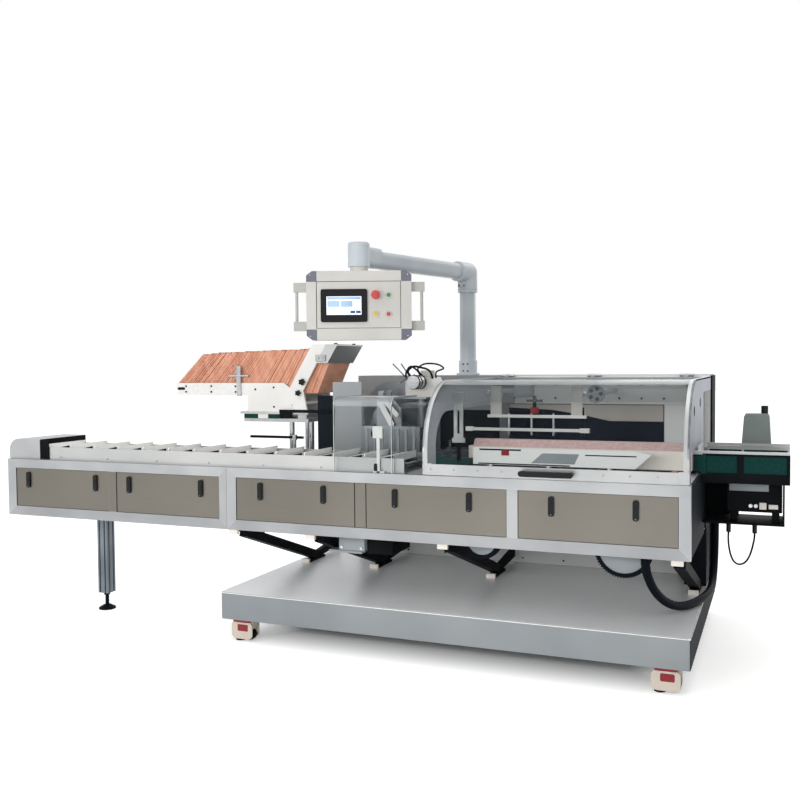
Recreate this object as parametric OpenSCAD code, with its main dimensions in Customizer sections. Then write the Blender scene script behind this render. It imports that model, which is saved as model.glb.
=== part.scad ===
// Automatic cartoner: a cantilever packaging machine on a stainless plinth, with a pocket
// infeed, a blank magazine, a guarded closing section, an operator panel and a discharge belt.
// Working axes: X runs with the product and is 0 at the right end of the main housing, Y runs
// from the front face towards the back, Z is up from the floor. Millimetres and degrees.

/* [Plinth and castors] */
// Length of the plinth along the machine
plinth_l = 2128; // [2100:1:2600]
// Depth of the plinth from front to back
plinth_d = 1365; // [1330:1:1600]
// Height of the plinth body
plinth_h = 127; // [100:1:180]
// Height of the plinth underside above the floor
plinth_clear = 109; // [100:1:130]
// Radius of the plinth corners
plinth_corner_r = 10; // [4:1:30]
// Distance of each castor centre from the plinth ends
castor_inset_x = 95; // [75:1:200]
// Distance of each castor centre from the plinth front and back
castor_inset_y = 62; // [55:1:150]
// Side of the square castor plate
castor_plate = 80; // [70:1:100]
// Diameter of the castor wheel
castor_wheel_d = 50; // [44:1:54]
// Width of the castor wheel
castor_wheel_w = 24; // [18:1:28]
// Diameter of the levelling pad
castor_pad_d = 46; // [36:1:52]
// Diameter of the red levelling dial
castor_dial_d = 56; // [48:1:58]

/* [Housings] */
// Length of the main housing
main_l = 2087; // [2060:1:2120]
// Length of the infeed housing
infeed_l = 1345; // [1200:1:1800]
// Depth of the infeed housing
infeed_d = 420; // [380:1:520]
// Height of the housings' underside above the floor
housing_z = 535; // [500:1:560]
// Height of the housings
housing_h = 292; // [270:1:320]
// Width of the trim bars round the front panels
trim_w = 46; // [36:1:60]
// Depth of the trim bars
trim_depth = 28; // [20:1:36]
// Fall of the trim face from its outer to its inner edge
trim_dish = 8; // [3:1:14]
// Width of the mullion between the infeed panels
infeed_mullion = 46; // [30:1:70]
// Width of the light mullion in the main housing
main_mullion = 47; // [30:1:70]
// Left edge of the light mullion
main_mullion_x = -732; // [-800:1:-600]
// Width of the plain strip between the two left main panels
strip_w = 55; // [30:1:80]
// Left edge of the plain strip
strip_x = -1428; // [-1500:1:-1300]
// Gap round each front panel
panel_gap = 2; // [1:0.5:4]
// Depth of each front panel's face behind the trim's inner edge
panel_sink = 3; // [1:0.5:8]
// Height of a panel latch
latch_h = 82; // [60:1:110]
// Width of a panel latch
latch_w = 24; // [18:1:34]
// Distance of each latch from its panel's end
latch_inset = 84; // [60:1:160]
// Thickness of the dark end panels
end_t = 8; // [4:1:14]

/* [Rear cabinet] */
// Length of the rear cabinet
rear_l = 1921; // [1800:1:2050]
// Front face of the rear cabinet
rear_y = 1115; // [1080:1:1140]
// Depth of the rear cabinet
rear_d = 220; // [150:1:240]
// Height of the rear cabinet's top above the floor
rear_top = 1240; // [1210:1:1280]
// Number of lift-off doors on the back
rear_doors_n = 3; // [2:1:4]
// Left end of the dark back window
window_x0 = -1030; // [-1080:1:-900]
// Right end of the dark back window
window_x1 = -230; // [-400:1:-180]
// Bottom of the dark back window
window_z0 = 900; // [870:1:940]
// Top of the dark back window
window_z1 = 1088; // [1040:1:1120]

/* [Infeed] */
// Front face of the infeed rails
infeed_y0 = 24; // [10:1:60]
// Back face of the infeed rails
infeed_y1 = 316; // [280:1:380]
// Height of the rails' top edge above the floor
infeed_top = 893; // [880:1:920]
// Right end of the infeed rails
infeed_x1 = -1195; // [-1300:1:-1180]
// Spacing of the product pockets
pocket_pitch = 150; // [120:1:200]
// Width of the infeed end cover along the machine
cover_l = 208; // [150:1:300]
// Height of the infeed end cover above the housing
cover_h = 104; // [95:1:130]
// Radius of the cover's rounded corner
cover_r = 60; // [20:1:80]
// Overhang of the end cover past the housing's end
cover_over = 6; // [0:1:20]
// Side of the square infeed leg
leg_w = 65; // [50:1:90]
// Place of the leg along the machine
leg_x = -3044; // [-3150:1:-2800]
// Place of the leg from the front
leg_y = 288; // [200:1:340]
// Diameter of the leg's foot
foot_d = 88; // [60:1:110]

/* [Brackets and drives] */
// Width of a support bracket's box section
bracket_w = 46; // [36:1:60]
// Depth of a support bracket's box section
bracket_t = 44; // [30:1:60]
// Place of the gearmotor
motor_x = -1526; // [-1600:1:-1400]
// Diameter of the gearmotor's barrel
motor_d = 104; // [80:1:130]
// Places of the two drive covers along the machine
drum_x = [-898, -285];
// Radii of the two drive covers
drum_r = [76, 110];

/* [Magazine] */
// Front face of the magazine's front plate
mag_y0 = 470; // [440:1:500]
// Back face of the magazine's rear plate
mag_y1 = 740; // [700:1:780]
// Thickness of the magazine's plates
mag_t = 10; // [6:1:14]
// Left end of the magazine
mag_x0 = -2700; // [-2800:1:-2500]
// Right end of the magazine's plates
mag_x1 = -1950; // [-1980:1:-1930]
// Left end of the deep part of the plates
mag_deep_x = -2259; // [-2300:1:-2200]
// Underside of the deep part
mag_low = 1065; // [1050:1:1080]
// Underside of the shallow part
mag_floor = 1148; // [1130:1:1170]
// Top edge of the plates
mag_top = 1213; // [1190:1:1240]
// Height of the gate's top above the floor
gate_top = 1406; // [1380:1:1408]
// Number of bundles in the stack of blanks
bundles = 12; // [8:1:20]
// Lean of the blanks, sideways travel for each unit of height
blank_lean = 1.1; // [0.6:0.05:1.2]

/* [Closing section] */
// Front face of the carton conveyor
line_y0 = 440; // [436:1:450]
// Back face of the carton conveyor
line_y1 = 740; // [700:1:760]
// Left end of the carton conveyor
line_x0 = -1235; // [-1290:1:-1180]
// Height of the carton chain's top above the floor
line_top = 890; // [880:1:900]
// Left end of the long carton cover
shroud_x0 = -985; // [-1040:1:-900]
// Front face of the long carton cover
shroud_y0 = 372; // [350:1:380]
// Height of the hold-down shafts
shaft_z = 1160; // [1140:1:1170]
// Diameter of the hold-down pulleys
pulley_d = 84; // [60:1:90]
// Height of the upper hold-down rail
upper_rail_z = 1052; // [1040:1:1070]
// Height of the lower hold-down rail
lower_rail_z = 988; // [980:1:1000]

/* [Hood] */
// Length of the hood along the machine
hood_l = 1090; // [1000:1:1120]
// Gap between the hood's right end and the end of the main housing
hood_end = 5; // [5:1:20]
// Radius of the hood's front bend
hood_r = 300; // [220:1:360]
// Front face of the hood
hood_front = -12; // [-30:1:-5]
// Lower edge of the hood above the housings
hood_gap = 5; // [5:1:15]
// Height of the hood's top above the floor
hood_top = 1230; // [1220:1:1232]
// Thickness of the clear sheet
sheet_t = 6; // [4:1:10]
// Width of the arch plates
arch_w = 85; // [60:1:110]
// Thickness of the arch plates
arch_t = 8; // [5:1:12]
// Width of the arch rims along the machine
rim_w = 40; // [25:1:60]
// Height of the steel band along the hood's lower front edge
band_h = 46; // [30:1:60]
// Length of the hood handle
handle_l = 200; // [140:1:300]
// Middle of the hood handle
handle_x = -557; // [-650:1:-400]
// Diameter of the hood handle
handle_d = 24; // [18:1:30]
// Distance from the hood's front to the handle's outer face
handle_reach = 46; // [40:1:60]
// Diameter of the hinge pins
pin_d = 8; // [6:1:10]
// Length of one hinge
hinge_l = 66; // [48:1:90]
// Spacing of the hinges
hinge_pitch = 455; // [400:1:460]

/* [Operator panel] */
// Place of the column along the machine
column_x = -1292; // [-1400:1:-1250]
// Place of the column from the front
column_y = 1205; // [1190:1:1250]
// Diameter of the column
column_d = 92; // [76:1:110]
// Height of the column's top above the floor
column_top = 1712; // [1680:1:1740]
// Length of the arm between its two pivots
arm_l = 938; // [800:1:1000]
// Turn of the arm from straight forward, towards the infeed
arm_turn = 14.6; // [0:0.1:30]
// Height of the arm's middle line above the column's top
arm_rise = 94; // [80:1:110]
// Width of the panel enclosure
panel_w = 492; // [420:1:560]
// Height of the panel enclosure
panel_h = 322; // [280:1:330]
// Depth of the panel enclosure
panel_d = 96; // [70:1:130]
// Distance from the arm's middle line down to the top of the panel enclosure
panel_drop = 65; // [58:1:80]
// Turn of the panel towards the right
panel_turn = 22.5; // [0:0.5:40]

/* [Discharge and coder] */
// Length of the discharge conveyor past the main housing
discharge_l = 352; // [250:1:600]
// Underside of the discharge conveyor's lower rail
discharge_low = 790; // [770:1:800]
// Top of the discharge conveyor's upper rail
discharge_top = 924; // [915:1:930]
// Left end of the coder box
coder_x0 = 100; // [80:1:140]
// Length of the coder box
coder_l = 222; // [160:1:230]
// Front face of the coder box
coder_y0 = 560; // [540:1:600]
// Depth of the coder box
coder_d = 200; // [140:1:240]
// Underside of the coder tray
tray_z = 566; // [555:1:580]

/* [Hidden] */
$fn = 48;
fit = 0.3;
eps = 0.01;
plinth_top = plinth_clear + plinth_h;
housing_top = housing_z + housing_h;
joint_x = -main_l;
infeed_end = -main_l - infeed_l;
rear_back = rear_y + rear_d;
hood_low = housing_top + hood_gap;
hood_x1 = -hood_end;
hood_x0 = hood_x1 - hood_l;
pin_r = pin_d / 2;
knuckle_r = pin_r + 5;
hinge_y = rear_y - 29;
hinge_z = hood_top + knuckle_r - 1;
hood_back = hinge_y - knuckle_r - 5;
hinge_first = -119;
cover_x0 = infeed_end - cover_over;
arm_z = column_top + arm_rise;
panel_top = arm_z - panel_drop;
panel_low = panel_top - panel_h;
spigot_x = column_x - arm_l * sin(arm_turn);
spigot_y = column_y - arm_l * cos(arm_turn);

// The frame's origin is the middle of the footprint, on the floor.
mid_x = (cover_x0 + discharge_l) / 2;
mid_y = (hood_front - handle_reach + plinth_d) / 2;

// Colours as the object shows them
steel = "#C9CDD0";
panel_steel = "#9A968E";
cream = "#ECE9DF";
dark_grey = "#434A50";
black = "#1C1D20";
kraft = "#C9703F";
red = "#C4262C";
green = "#0F3F36";
clear = [0.8, 0.88, 0.92, 0.35];
blue_grey = "#A9B4BE";
pink = "#C79A9A";

// Moves working coordinates to the part's own frame
module machine() {
  translate([-mid_x, -mid_y, 0])
    children();
}

// A box given by two opposite corners
module block(low, high) {
  translate(low)
    cube([high[0] - low[0], high[1] - low[1], high[2] - low[2]]);
}

// Carries a Y-Z outline along X
module along_x(x0, x1) {
  translate([x0, 0, 0])
    rotate([90, 0, 90])
      linear_extrude(height = x1 - x0)
        children();
}

// Carries an X-Z outline along Y
module along_y(y0, y1) {
  translate([0, y1, 0])
    rotate([90, 0, 0])
      linear_extrude(height = y1 - y0)
        children();
}

// Round bars along each axis
module bar_x(x0, x1, y, z, d) {
  translate([x0, y, z])
    rotate([0, 90, 0])
      cylinder(d = d, h = x1 - x0);
}

module bar_y(y0, y1, x, z, d) {
  translate([x, y0, z])
    rotate([-90, 0, 0])
      cylinder(d = d, h = y1 - y0);
}

module bar_z(z0, z1, x, y, d) {
  translate([x, y, z0])
    cylinder(d = d, h = z1 - z0);
}

// A rectangle with round corners, from its low corner
module round_rect(w, h, r) {
  translate([r, 0])
    square([w - 2 * r, h]);
  translate([0, r])
    square([w, h - 2 * r]);
  for (x = [r, w - r])
    for (y = [r, h - r])
      translate([x, y])
        circle(r = r);
}

// The four castor places under the plinth, and the direction each wheel trails
module at_castors() {
  for (x = [-plinth_l + castor_inset_x, -castor_inset_x])
    for (y = [castor_inset_y, plinth_d - castor_inset_y])
      translate([x, y, 0])
        children();
}

// Castor sizes
castor_plate_t = 6;
castor_cheek = 6;
castor_boss = 4;
castor_body_r = 10;
castor_neck_d = castor_plate - 16;
castor_body_w = castor_wheel_w + 2 * castor_cheek + 2;
castor_roof = plinth_clear - 2 * castor_plate_t;
castor_wheel_z = castor_wheel_d / 2 + 6;
castor_wheel_x = 31;
castor_pad_x = -26;
castor_pad_h = 16;
castor_axle_d = 10;
castor_stem_d = 16;
castor_mid = castor_wheel_z + castor_wheel_d / 2 + 3;
castor_dial_z = castor_pad_h + 8;
castor_dial_h = 12;
castor_back = castor_pad_x - castor_dial_d / 2 + castor_boss;
castor_nose = castor_wheel_x + castor_dial_d / 2 - castor_boss;

module base_plinth() {
  color(steel)
    machine()
      translate([-plinth_l, 0, plinth_clear])
        linear_extrude(height = plinth_h)
          round_rect(plinth_l, plinth_d, plinth_corner_r);
}

module castor_bodies() {
  color(cream)
    machine()
      at_castors()
        difference() {
          union() {
            block([-castor_plate / 2, -castor_plate / 2, plinth_clear - castor_plate_t],
               [castor_plate / 2, castor_plate / 2, plinth_clear]);
            bar_z(castor_roof, plinth_clear, 0, 0, castor_neck_d);
            along_y(-castor_body_w / 2, castor_body_w / 2)
              translate([castor_back, castor_mid])
                round_rect(castor_nose - castor_back, castor_roof - castor_mid,
                     castor_body_r);
            for (side = [-1, 1])
              along_y(side * castor_body_w / 2 - (side > 0 ? castor_cheek : 0),
                  side * castor_body_w / 2 + (side < 0 ? castor_cheek : 0))
                castor_cheek_outline();
          }
          bar_y(-castor_plate, castor_plate, castor_wheel_x, castor_wheel_z,
             castor_axle_d + 2 * fit);
        }
}

// Cheek that carries the castor axle
module castor_cheek_outline() {
  r = castor_axle_d + castor_boss;
  translate([castor_wheel_x, castor_wheel_z])
    circle(r = r);
  translate([castor_wheel_x - r, castor_wheel_z])
    square([2 * r, castor_mid - castor_wheel_z + castor_body_r]);
}

module castor_wheels() {
  color(black)
    machine()
      at_castors() {
        bar_y(-castor_wheel_w / 2, castor_wheel_w / 2, castor_wheel_x, castor_wheel_z,
           castor_wheel_d);
        bar_y(-castor_body_w / 2, castor_body_w / 2, castor_wheel_x, castor_wheel_z,
           castor_axle_d);
      }
}

module castor_dials() {
  grips = 12;
  grip_r = 5;
  color(red)
    machine()
      at_castors()
        translate([castor_pad_x, 0, castor_dial_z])
          difference() {
            cylinder(d = castor_dial_d, h = castor_dial_h);
            translate([0, 0, -1])
              cylinder(d = castor_stem_d + 2 * fit, h = castor_dial_h + 2);
            for (i = [0 : grips - 1])
              rotate(i * 360 / grips)
                translate([castor_dial_d / 2 + grip_r / 2, 0, -1])
                  cylinder(r = grip_r, h = castor_dial_h + 2);
          }
}

// Levelling pads of the castors and the foot of the infeed leg, which stand on the floor
leg_low = 90;
foot_stem_d = 20;
foot_rim = 8;
foot_crown = 22;
foot_nut = 14;

module levelling_pads() {
  color(black)
    machine() {
      at_castors() {
        bar_z(0, castor_pad_h, castor_pad_x, 0, castor_pad_d);
        bar_z(castor_pad_h - 1, castor_mid, castor_pad_x, 0, castor_stem_d);
      }
      translate([leg_x, leg_y, 0]) {
        rotate_extrude()
          polygon([
            [0, 0], [foot_d / 2, 0], [foot_d / 2, foot_rim], [foot_stem_d, foot_crown],
            [0, foot_crown]
          ]);
        cylinder(d = foot_stem_d, h = leg_low);
        translate([0, 0, leg_low - foot_nut])
          cylinder(d = foot_stem_d + foot_nut, h = foot_nut, $fn = 6);
      }
    }
}

module rear_cabinet() {
  color(steel)
    machine()
      block([-rear_l, rear_y, plinth_top], [-end_t, rear_back, rear_top]);
}

rear_margin = 30;
rear_door_t = 6;
rear_door_r = 6;
rear_door_w = (rear_l - rear_margin * (rear_doors_n + 1)) / rear_doors_n;
rear_door_z0 = plinth_top + rear_margin;
rear_door_z1 = rear_top - rear_margin;

function rear_door_x(i) = -rear_l + rear_margin + i * (rear_door_w + rear_margin);

module rear_doors() {
  color(panel_steel)
    machine()
      for (i = [0 : rear_doors_n - 1])
        along_y(rear_back, rear_back + rear_door_t)
          translate([rear_door_x(i), rear_door_z0])
            round_rect(rear_door_w, rear_door_z1 - rear_door_z0, rear_door_r);
}

window_t = 6;
window_r = 4;

module back_window() {
  color("#2A3242")
    machine()
      along_y(rear_y - window_t, rear_y)
        translate([window_x0, window_z0])
          round_rect(window_x1 - window_x0, window_z1 - window_z0, window_r);
}

// Places of the brackets as shares of the main housing's length from its right end
bracket_shares = [0.986, 0.7916, 0.4868, 0.0244];
bracket_x = [for (share = bracket_shares) -main_l * share];

// Ends of the brackets' head and foot plates, from the front
bracket_head = [20, 180];
bracket_foot = [720, 900];

// Dark panels on the right end, in three fields, and the pillar under the housing
end_margin = 5;
end_gap_mid = (line_y0 + line_y1) / 2 + 103;
end_gap_w = 112;
end_field = [
  [trim_depth, end_gap_mid - end_gap_w / 2],
  [end_gap_mid + end_gap_w / 2, rear_y - 3 * end_margin]
];
pillar_y0 = bracket_foot[1] + 5;
pillar_x0 = -110;
pillar_x1 = -10;

module end_panels() {
  color(dark_grey)
    machine() {
      for (f = end_field)
        block([-end_t, f[0], housing_z + end_margin], [0, f[1], housing_top - end_margin]);
      block([-end_t, rear_y + end_margin, plinth_top + end_margin],
         [0, rear_back - end_margin, rear_top - end_margin]);
      block([pillar_x0, pillar_y0, plinth_top], [pillar_x1, rear_y, housing_z]);
    }
}

// Light plate at the back of the discharge end
module right_end_plate() {
  plate_x0 = -hood_end - rim_w + 1;
  plate_top = hood_top - hood_rail_h - end_margin;
  color(steel)
    machine()
      block([plate_x0, line_y1 + end_margin, housing_top], [plate_x0 + arch_t, rear_y, plate_top]);
}

module main_housing() {
  color(steel)
    machine()
      block([joint_x, trim_depth, housing_z], [-end_t, rear_y, housing_top]);
}

module infeed_housing() {
  color(steel)
    machine()
      block([infeed_end, trim_depth, housing_z], [joint_x, infeed_d, housing_top]);
}

// Trim bar with a dished face and mitred ends, along +X from the origin, outer edge below
module mitred_bar(len) {
  difference() {
    rotate([90, 0, 90])
      linear_extrude(height = len)
        polygon([[0, 0], [trim_dish, trim_w], [trim_depth, trim_w], [trim_depth, 0]]);
    rotate([0, -45, 0])
      translate([-2 * trim_w, -1, -trim_w])
        cube([2 * trim_w, trim_depth + 2, 4 * trim_w]);
    translate([len, 0, 0])
      rotate([0, 45, 0])
        translate([0, -1, -trim_w])
          cube([2 * trim_w, trim_depth + 2, 4 * trim_w]);
  }
}

// Trim frame of one module, from its low left corner
module trim_frame(w, h) {
  mitred_bar(w);
  translate([w, 0, h])
    rotate([0, 180, 0])
      mitred_bar(w);
  translate([0, 0, h])
    rotate([0, 90, 0])
      mitred_bar(h);
  translate([w, 0, 0])
    rotate([0, -90, 0])
      mitred_bar(h);
}

seam = 1;
infeed_mullion_x = infeed_end + (infeed_l - infeed_mullion) / 2;

module front_trim() {
  color(steel)
    machine() {
      translate([infeed_end, 0, housing_z])
        trim_frame(infeed_l - seam, housing_h);
      block([infeed_mullion_x, trim_dish, housing_z + trim_w - eps],
         [infeed_mullion_x + infeed_mullion, trim_depth, housing_top - trim_w + eps]);
      translate([joint_x, 0, housing_z])
        trim_frame(main_l, housing_h);
      block([main_mullion_x, trim_dish, housing_z + trim_w - eps],
         [main_mullion_x + main_mullion, trim_depth, housing_top - trim_w + eps]);
    }
}

// Ends of the front panels along the machine
panel_spans = [
  [infeed_end + trim_w, infeed_mullion_x],
  [infeed_mullion_x + infeed_mullion, joint_x - seam - trim_w],
  [joint_x + trim_w, strip_x],
  [strip_x + strip_w, main_mullion_x],
  [main_mullion_x + main_mullion, -trim_w]
];
panel_face = trim_dish + panel_sink;
panel_z0 = housing_z + trim_w + panel_gap;
panel_z1 = housing_top - trim_w - panel_gap;

module front_panels() {
  color(panel_steel)
    machine() {
      for (s = panel_spans)
        block([s[0] + panel_gap, panel_face, panel_z0],
           [s[1] - panel_gap, trim_depth, panel_z1]);
      block([strip_x + panel_gap, panel_face, panel_z0],
         [strip_x + strip_w - panel_gap, trim_depth, panel_z1]);
    }
}

latch_t = 9;
latch_z = housing_z + 185;

// Latch plate with its sunk lever, middle at the origin, face towards -Y
module latch() {
  difference() {
    along_y(-latch_t, 0)
      translate([-latch_w / 2, -latch_h / 2])
        round_rect(latch_w, latch_h, latch_w / 2 - 2);
    along_y(-latch_t - 1, -latch_t / 2)
      translate([-latch_w / 4, -latch_h / 4])
        round_rect(latch_w / 2, latch_h * 0.6, latch_w / 4 - 1);
    bar_y(-latch_t - 1, -latch_t + 2, 0, -latch_h * 0.36, latch_w / 3);
  }
}

module panel_latches() {
  color(black)
    machine() {
      for (s = panel_spans)
        for (x = [s[0] + latch_inset, s[1] - latch_inset])
          translate([x, panel_face, latch_z])
            latch();
      for (i = [0 : rear_doors_n - 1])
        for (x = [latch_inset, rear_door_w - latch_inset])
          translate([rear_door_x(i) + x, rear_back + rear_door_t, (rear_door_z0 + rear_door_z1) / 2])
            rotate(180)
              latch();
    }
}

leg_slot_w = 9;
leg_slot_d = 9;
leg_r = 4;

module infeed_leg() {
  color(steel)
    machine()
      translate([leg_x, leg_y, leg_low])
        linear_extrude(height = housing_z - leg_low)
          difference() {
            translate([-leg_w / 2, -leg_w / 2])
              round_rect(leg_w, leg_w, leg_r);
            for (a = [0 : 90 : 270])
              rotate(a)
                for (side = [-1, 1])
                  translate([leg_w / 2 - leg_slot_d, side * leg_w / 4 - leg_slot_w / 2])
                    square([leg_slot_d + 1, leg_slot_w]);
          }
}

rail_t = 6;
chain_w = 14;
chain_r = 18;
chain_sink = 38;
chain_z = infeed_top - chain_sink;
chain_shaft_d = 20;
rail_start = 30;
chain_x0 = infeed_end + 2 * rail_start;
chain_x1 = infeed_x1 - rail_start;
chain_in = 60;

module infeed_rails() {
  color(steel)
    machine() {
      for (y = [infeed_y0, infeed_y1 - rail_t])
        block([infeed_end + rail_start, y, housing_top], [infeed_x1, y + rail_t, infeed_top]);
    }
}

// Flat loop with round ends in X-Z, middle line between two shaft centres
module loop_outline(x0, x1, z, r) {
  translate([x0, z])
    circle(r = r);
  translate([x1, z])
    circle(r = r);
  translate([x0, z - r])
    square([x1 - x0, 2 * r]);
}

module infeed_chain() {
  color(dark_grey)
    machine() {
      for (y = [infeed_y0 + chain_in, infeed_y1 - chain_in - chain_w])
        along_y(y, y + chain_w)
          loop_outline(chain_x0, chain_x1, chain_z, chain_r);
      for (x = [chain_x0, chain_x1])
        bar_y(infeed_y0 + rail_t, infeed_y1 - rail_t, x, chain_z, chain_shaft_d);
    }
}

pocket_gap = 14;
pocket_t = 4;
pocket_n = floor((chain_x1 - chain_x0) / pocket_pitch);
pocket_x0 = chain_x0 + (chain_x1 - chain_x0 - pocket_n * pocket_pitch) / 2;
pocket_z = chain_z + chain_r;
pocket_side = 4;
flight_in = 1;
flight_h = 34;
flight_t = 5;
flight_lean = 8;

// Floor plates of the pockets and the leaning flights between them, all on the chain
module infeed_pockets() {
  color(steel)
    machine()
      for (i = [0 : pocket_n - 1])
        along_y(infeed_y0 + rail_t + pocket_side, infeed_y1 - rail_t - pocket_side)
          translate([pocket_x0 + i * pocket_pitch, pocket_z]) {
            translate([pocket_gap, 0])
              square([pocket_pitch - pocket_gap, pocket_t]);
            translate([flight_in, 0])
              polygon([
                [0, 0], [flight_t, 0], [flight_t + flight_lean, flight_h],
                [flight_lean, flight_h]
              ]);
          }
}

cover_y0 = infeed_y0 - 4;
cover_y1 = infeed_y1 + 40;
cover_t = 4;
cover_mouth = 40;

// Rounded outline of the infeed end cover in X-Z
module cover_outline(inset) {
  translate([inset, 0])
    square([cover_l - inset, cover_h - cover_r]);
  translate([cover_r, 0])
    square([cover_l - cover_r, cover_h - inset]);
  translate([cover_r, cover_h - cover_r])
    circle(r = cover_r - inset);
}

module infeed_end_cover() {
  color(steel)
    machine()
      translate([cover_x0, 0, housing_top])
        difference() {
          intersection() {
            along_y(cover_y0, cover_y1)
              cover_outline(0);
            block([0, cover_y0, 0], [cover_l, cover_y1, cover_h]);
          }
          intersection() {
            along_y(infeed_y0 - 1, infeed_y1 + 1)
              cover_outline(cover_t);
            block([0, 0, -1], [cover_l + 1, cover_y1, cover_h]);
          }
          block([cover_l - cover_mouth, infeed_y0 - 1, -1], [cover_l + 1, infeed_y1 + 1, cover_h - cover_t]);
        }
}

// Straight bar outline between two points of the Y-Z plane
module slanted_bar(a, b, t) {
  d = b - a;
  translate(a)
    rotate(atan2(d[1], d[0]))
      translate([0, -t / 2])
        square([norm(d), t]);
}

bracket_plate_t = 12;
bracket_lift = 5;
bracket_top_point = [(bracket_head[0] + bracket_head[1]) / 2, housing_z - bracket_t / 2 - bracket_lift];
bracket_foot_point = [(bracket_foot[0] + bracket_foot[1]) / 2, plinth_top + bracket_t / 2 + bracket_lift];

module support_brackets() {
  color(black)
    machine()
      for (x = bracket_x)
        along_x(x - bracket_w / 2, x + bracket_w / 2) {
          slanted_bar(bracket_top_point, bracket_foot_point, bracket_t);
          translate([bracket_head[0], housing_z - bracket_plate_t])
            square([bracket_head[1] - bracket_head[0], bracket_plate_t]);
          translate([bracket_foot[0], plinth_top])
            square([bracket_foot[1] - bracket_foot[0], bracket_plate_t]);
        }
}

cap_t = 14;
cap_h = 22;

module bracket_caps() {
  color(cream)
    machine()
      for (x = bracket_x) {
        block([x - bracket_w / 2, bracket_head[0] - cap_t, housing_z - cap_h],
           [x + bracket_w / 2, bracket_head[0], housing_z]);
        block([x - bracket_w / 2, bracket_foot[0] - cap_t, plinth_top],
           [x + bracket_w / 2, bracket_foot[0], plinth_top + cap_h]);
      }
}

motor_y0 = 180;
motor_box = [130, 150, 95];
motor_l = 190;
motor_sink = 6;
drum_y = [190, 230];
drum_hub_y = [180, 300];
drum_hub_d = 44;
drum_sink = [8, 24];

// Round drive cover with its hub, cut off level at the housing's underside
module drive_cover(x, r) {
  intersection() {
    union() {
      bar_y(drum_y[0], drum_y[1], x, housing_z - drum_sink[0], 2 * r);
      bar_y(drum_hub_y[0], drum_hub_y[1], x, housing_z - drum_sink[1], drum_hub_d);
    }
    block([x - 2 * r, 0, housing_z - 2 * r], [x + 2 * r, drum_hub_y[1] + 1, housing_z]);
  }
}

// Gearmotor and round drive covers that hang under the main housing
module drive_units() {
  gear_back = motor_y0 + motor_box[1];
  color("#8E9499")
    machine() {
      block([motor_x - motor_box[0] / 2, motor_y0, housing_z - motor_box[2]],
         [motor_x + motor_box[0] / 2, gear_back, housing_z]);
      bar_y(gear_back - 1, gear_back + motor_l, motor_x,
         housing_z - motor_d / 2 - motor_sink, motor_d);
      for (i = [0, 1])
        drive_cover(drum_x[i], drum_r[i]);
    }
}

// A round tube swept along a route of points
hose_d = 36;
hose_sides = 10;
cable_d = 8;
cable_sides = 8;
hose_route = [
  [-190, 140, 521], [-190, 142, 498], [-187, 149, 458], [-178, 168, 415], [-162, 200, 368],
  [-140, 245, 325], [-112, 300, 290], [-82, 362, 268], [-52, 430, 258], [-26, 500, 256],
  [-6, 570, 256], [8, 640, 256], [16, 710, 256], [20, 775, 257], [21, 835, 263],
  [21, 890, 278], [21, 938, 304], [21, 978, 340], [21, 1008, 384], [21, 1028, 434],
  [21, 1039, 488], [21, 1043, 545], [21, 1044, 600]
];
cable_route = [
  [105, 600, 560], [104, 600, 536], [105, 600, 508], [109, 600, 478], [116, 600, 450],
  [127, 600, 428], [143, 600, 416], [161, 600, 418], [177, 600, 430], [189, 600, 450],
  [199, 600, 478], [206, 600, 508], [211, 600, 536], [212, 600, 560]
];

function unit(v) = v / norm(v);
function tangent(p, i) =
  unit(p[min(i + 1, len(p) - 1)] - p[max(i - 1, 0)]);
function ring(p, t, side, r, n) =
  let (u = unit(side - (side * t) * t), v = cross(t, u))
  [for (k = [0 : n - 1]) p + r * cos(360 * k / n) * u + r * sin(360 * k / n) * v];

module swept_tube(route, d, n, side, first, last) {
  m = len(route);
  points = [
    for (i = [0 : m - 1])
      let (t = i == 0 ? first : i == m - 1 ? last : tangent(route, i))
      for (q = ring(route[i], t, side, d / 2, n)) q
  ];
  walls = [
    for (i = [0 : m - 2])
      for (k = [0 : n - 1])
        let (a = i * n + k, b = i * n + (k + 1) % n)
        [a, a + n, b + n, b]
  ];
  start_cap = [for (k = [0 : n - 1]) k];
  end_cap = [for (k = [n - 1 : -1 : 0]) (m - 1) * n + k];
  polyhedron(points, concat(walls, [start_cap], [end_cap]), convexity = 6);
}

module dust_hose() {
  color(black)
    machine()
      swept_tube(hose_route, hose_d, hose_sides, [1, 0, 0.2], [0, 0, -1], [0, 0, 1]);
}

module coder_cable() {
  color(black)
    machine()
      swept_tube(cable_route, cable_d, cable_sides, [0, 1, 0], [0, 0, -1], [0, 0, 1]);
}

gland_d = 52;
hose_elbow_d = 42;
hose_elbow_h = 52;
cable_gland_d = 16;

module hose_glands() {
  hose_in = hose_route[0];
  hose_out = hose_route[len(hose_route) - 1];
  cable_in = cable_route[0];
  cable_out = cable_route[len(cable_route) - 1];
  color(black)
    machine() {
      bar_z(hose_in[2], housing_z, hose_in[0], hose_in[1], gland_d);
      bar_z(hose_out[2], hose_out[2] + hose_elbow_h, hose_out[0], hose_out[1], hose_elbow_d);
      bar_x(0, hose_out[0], hose_out[1], hose_out[2] + hose_elbow_h / 2, hose_elbow_d);
      for (c = [cable_in, cable_out])
        bar_z(c[2], tray_z, c[0], c[1], cable_gland_d);
    }
}

// Side outline of a magazine plate in X-Z
mag_step = 24;
mag_step_x = 90;
mag_step_run = 30;

module magazine_outline() {
  polygon([
    [mag_x0, mag_floor], [mag_x0, mag_top], [mag_x1 - mag_step_x, mag_top],
    [mag_x1 - mag_step_x + mag_step_run, mag_top - mag_step], [mag_x1, mag_top - mag_step],
    [mag_x1, mag_low], [mag_deep_x, mag_low], [mag_deep_x, mag_floor]
  ]);
}

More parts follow.
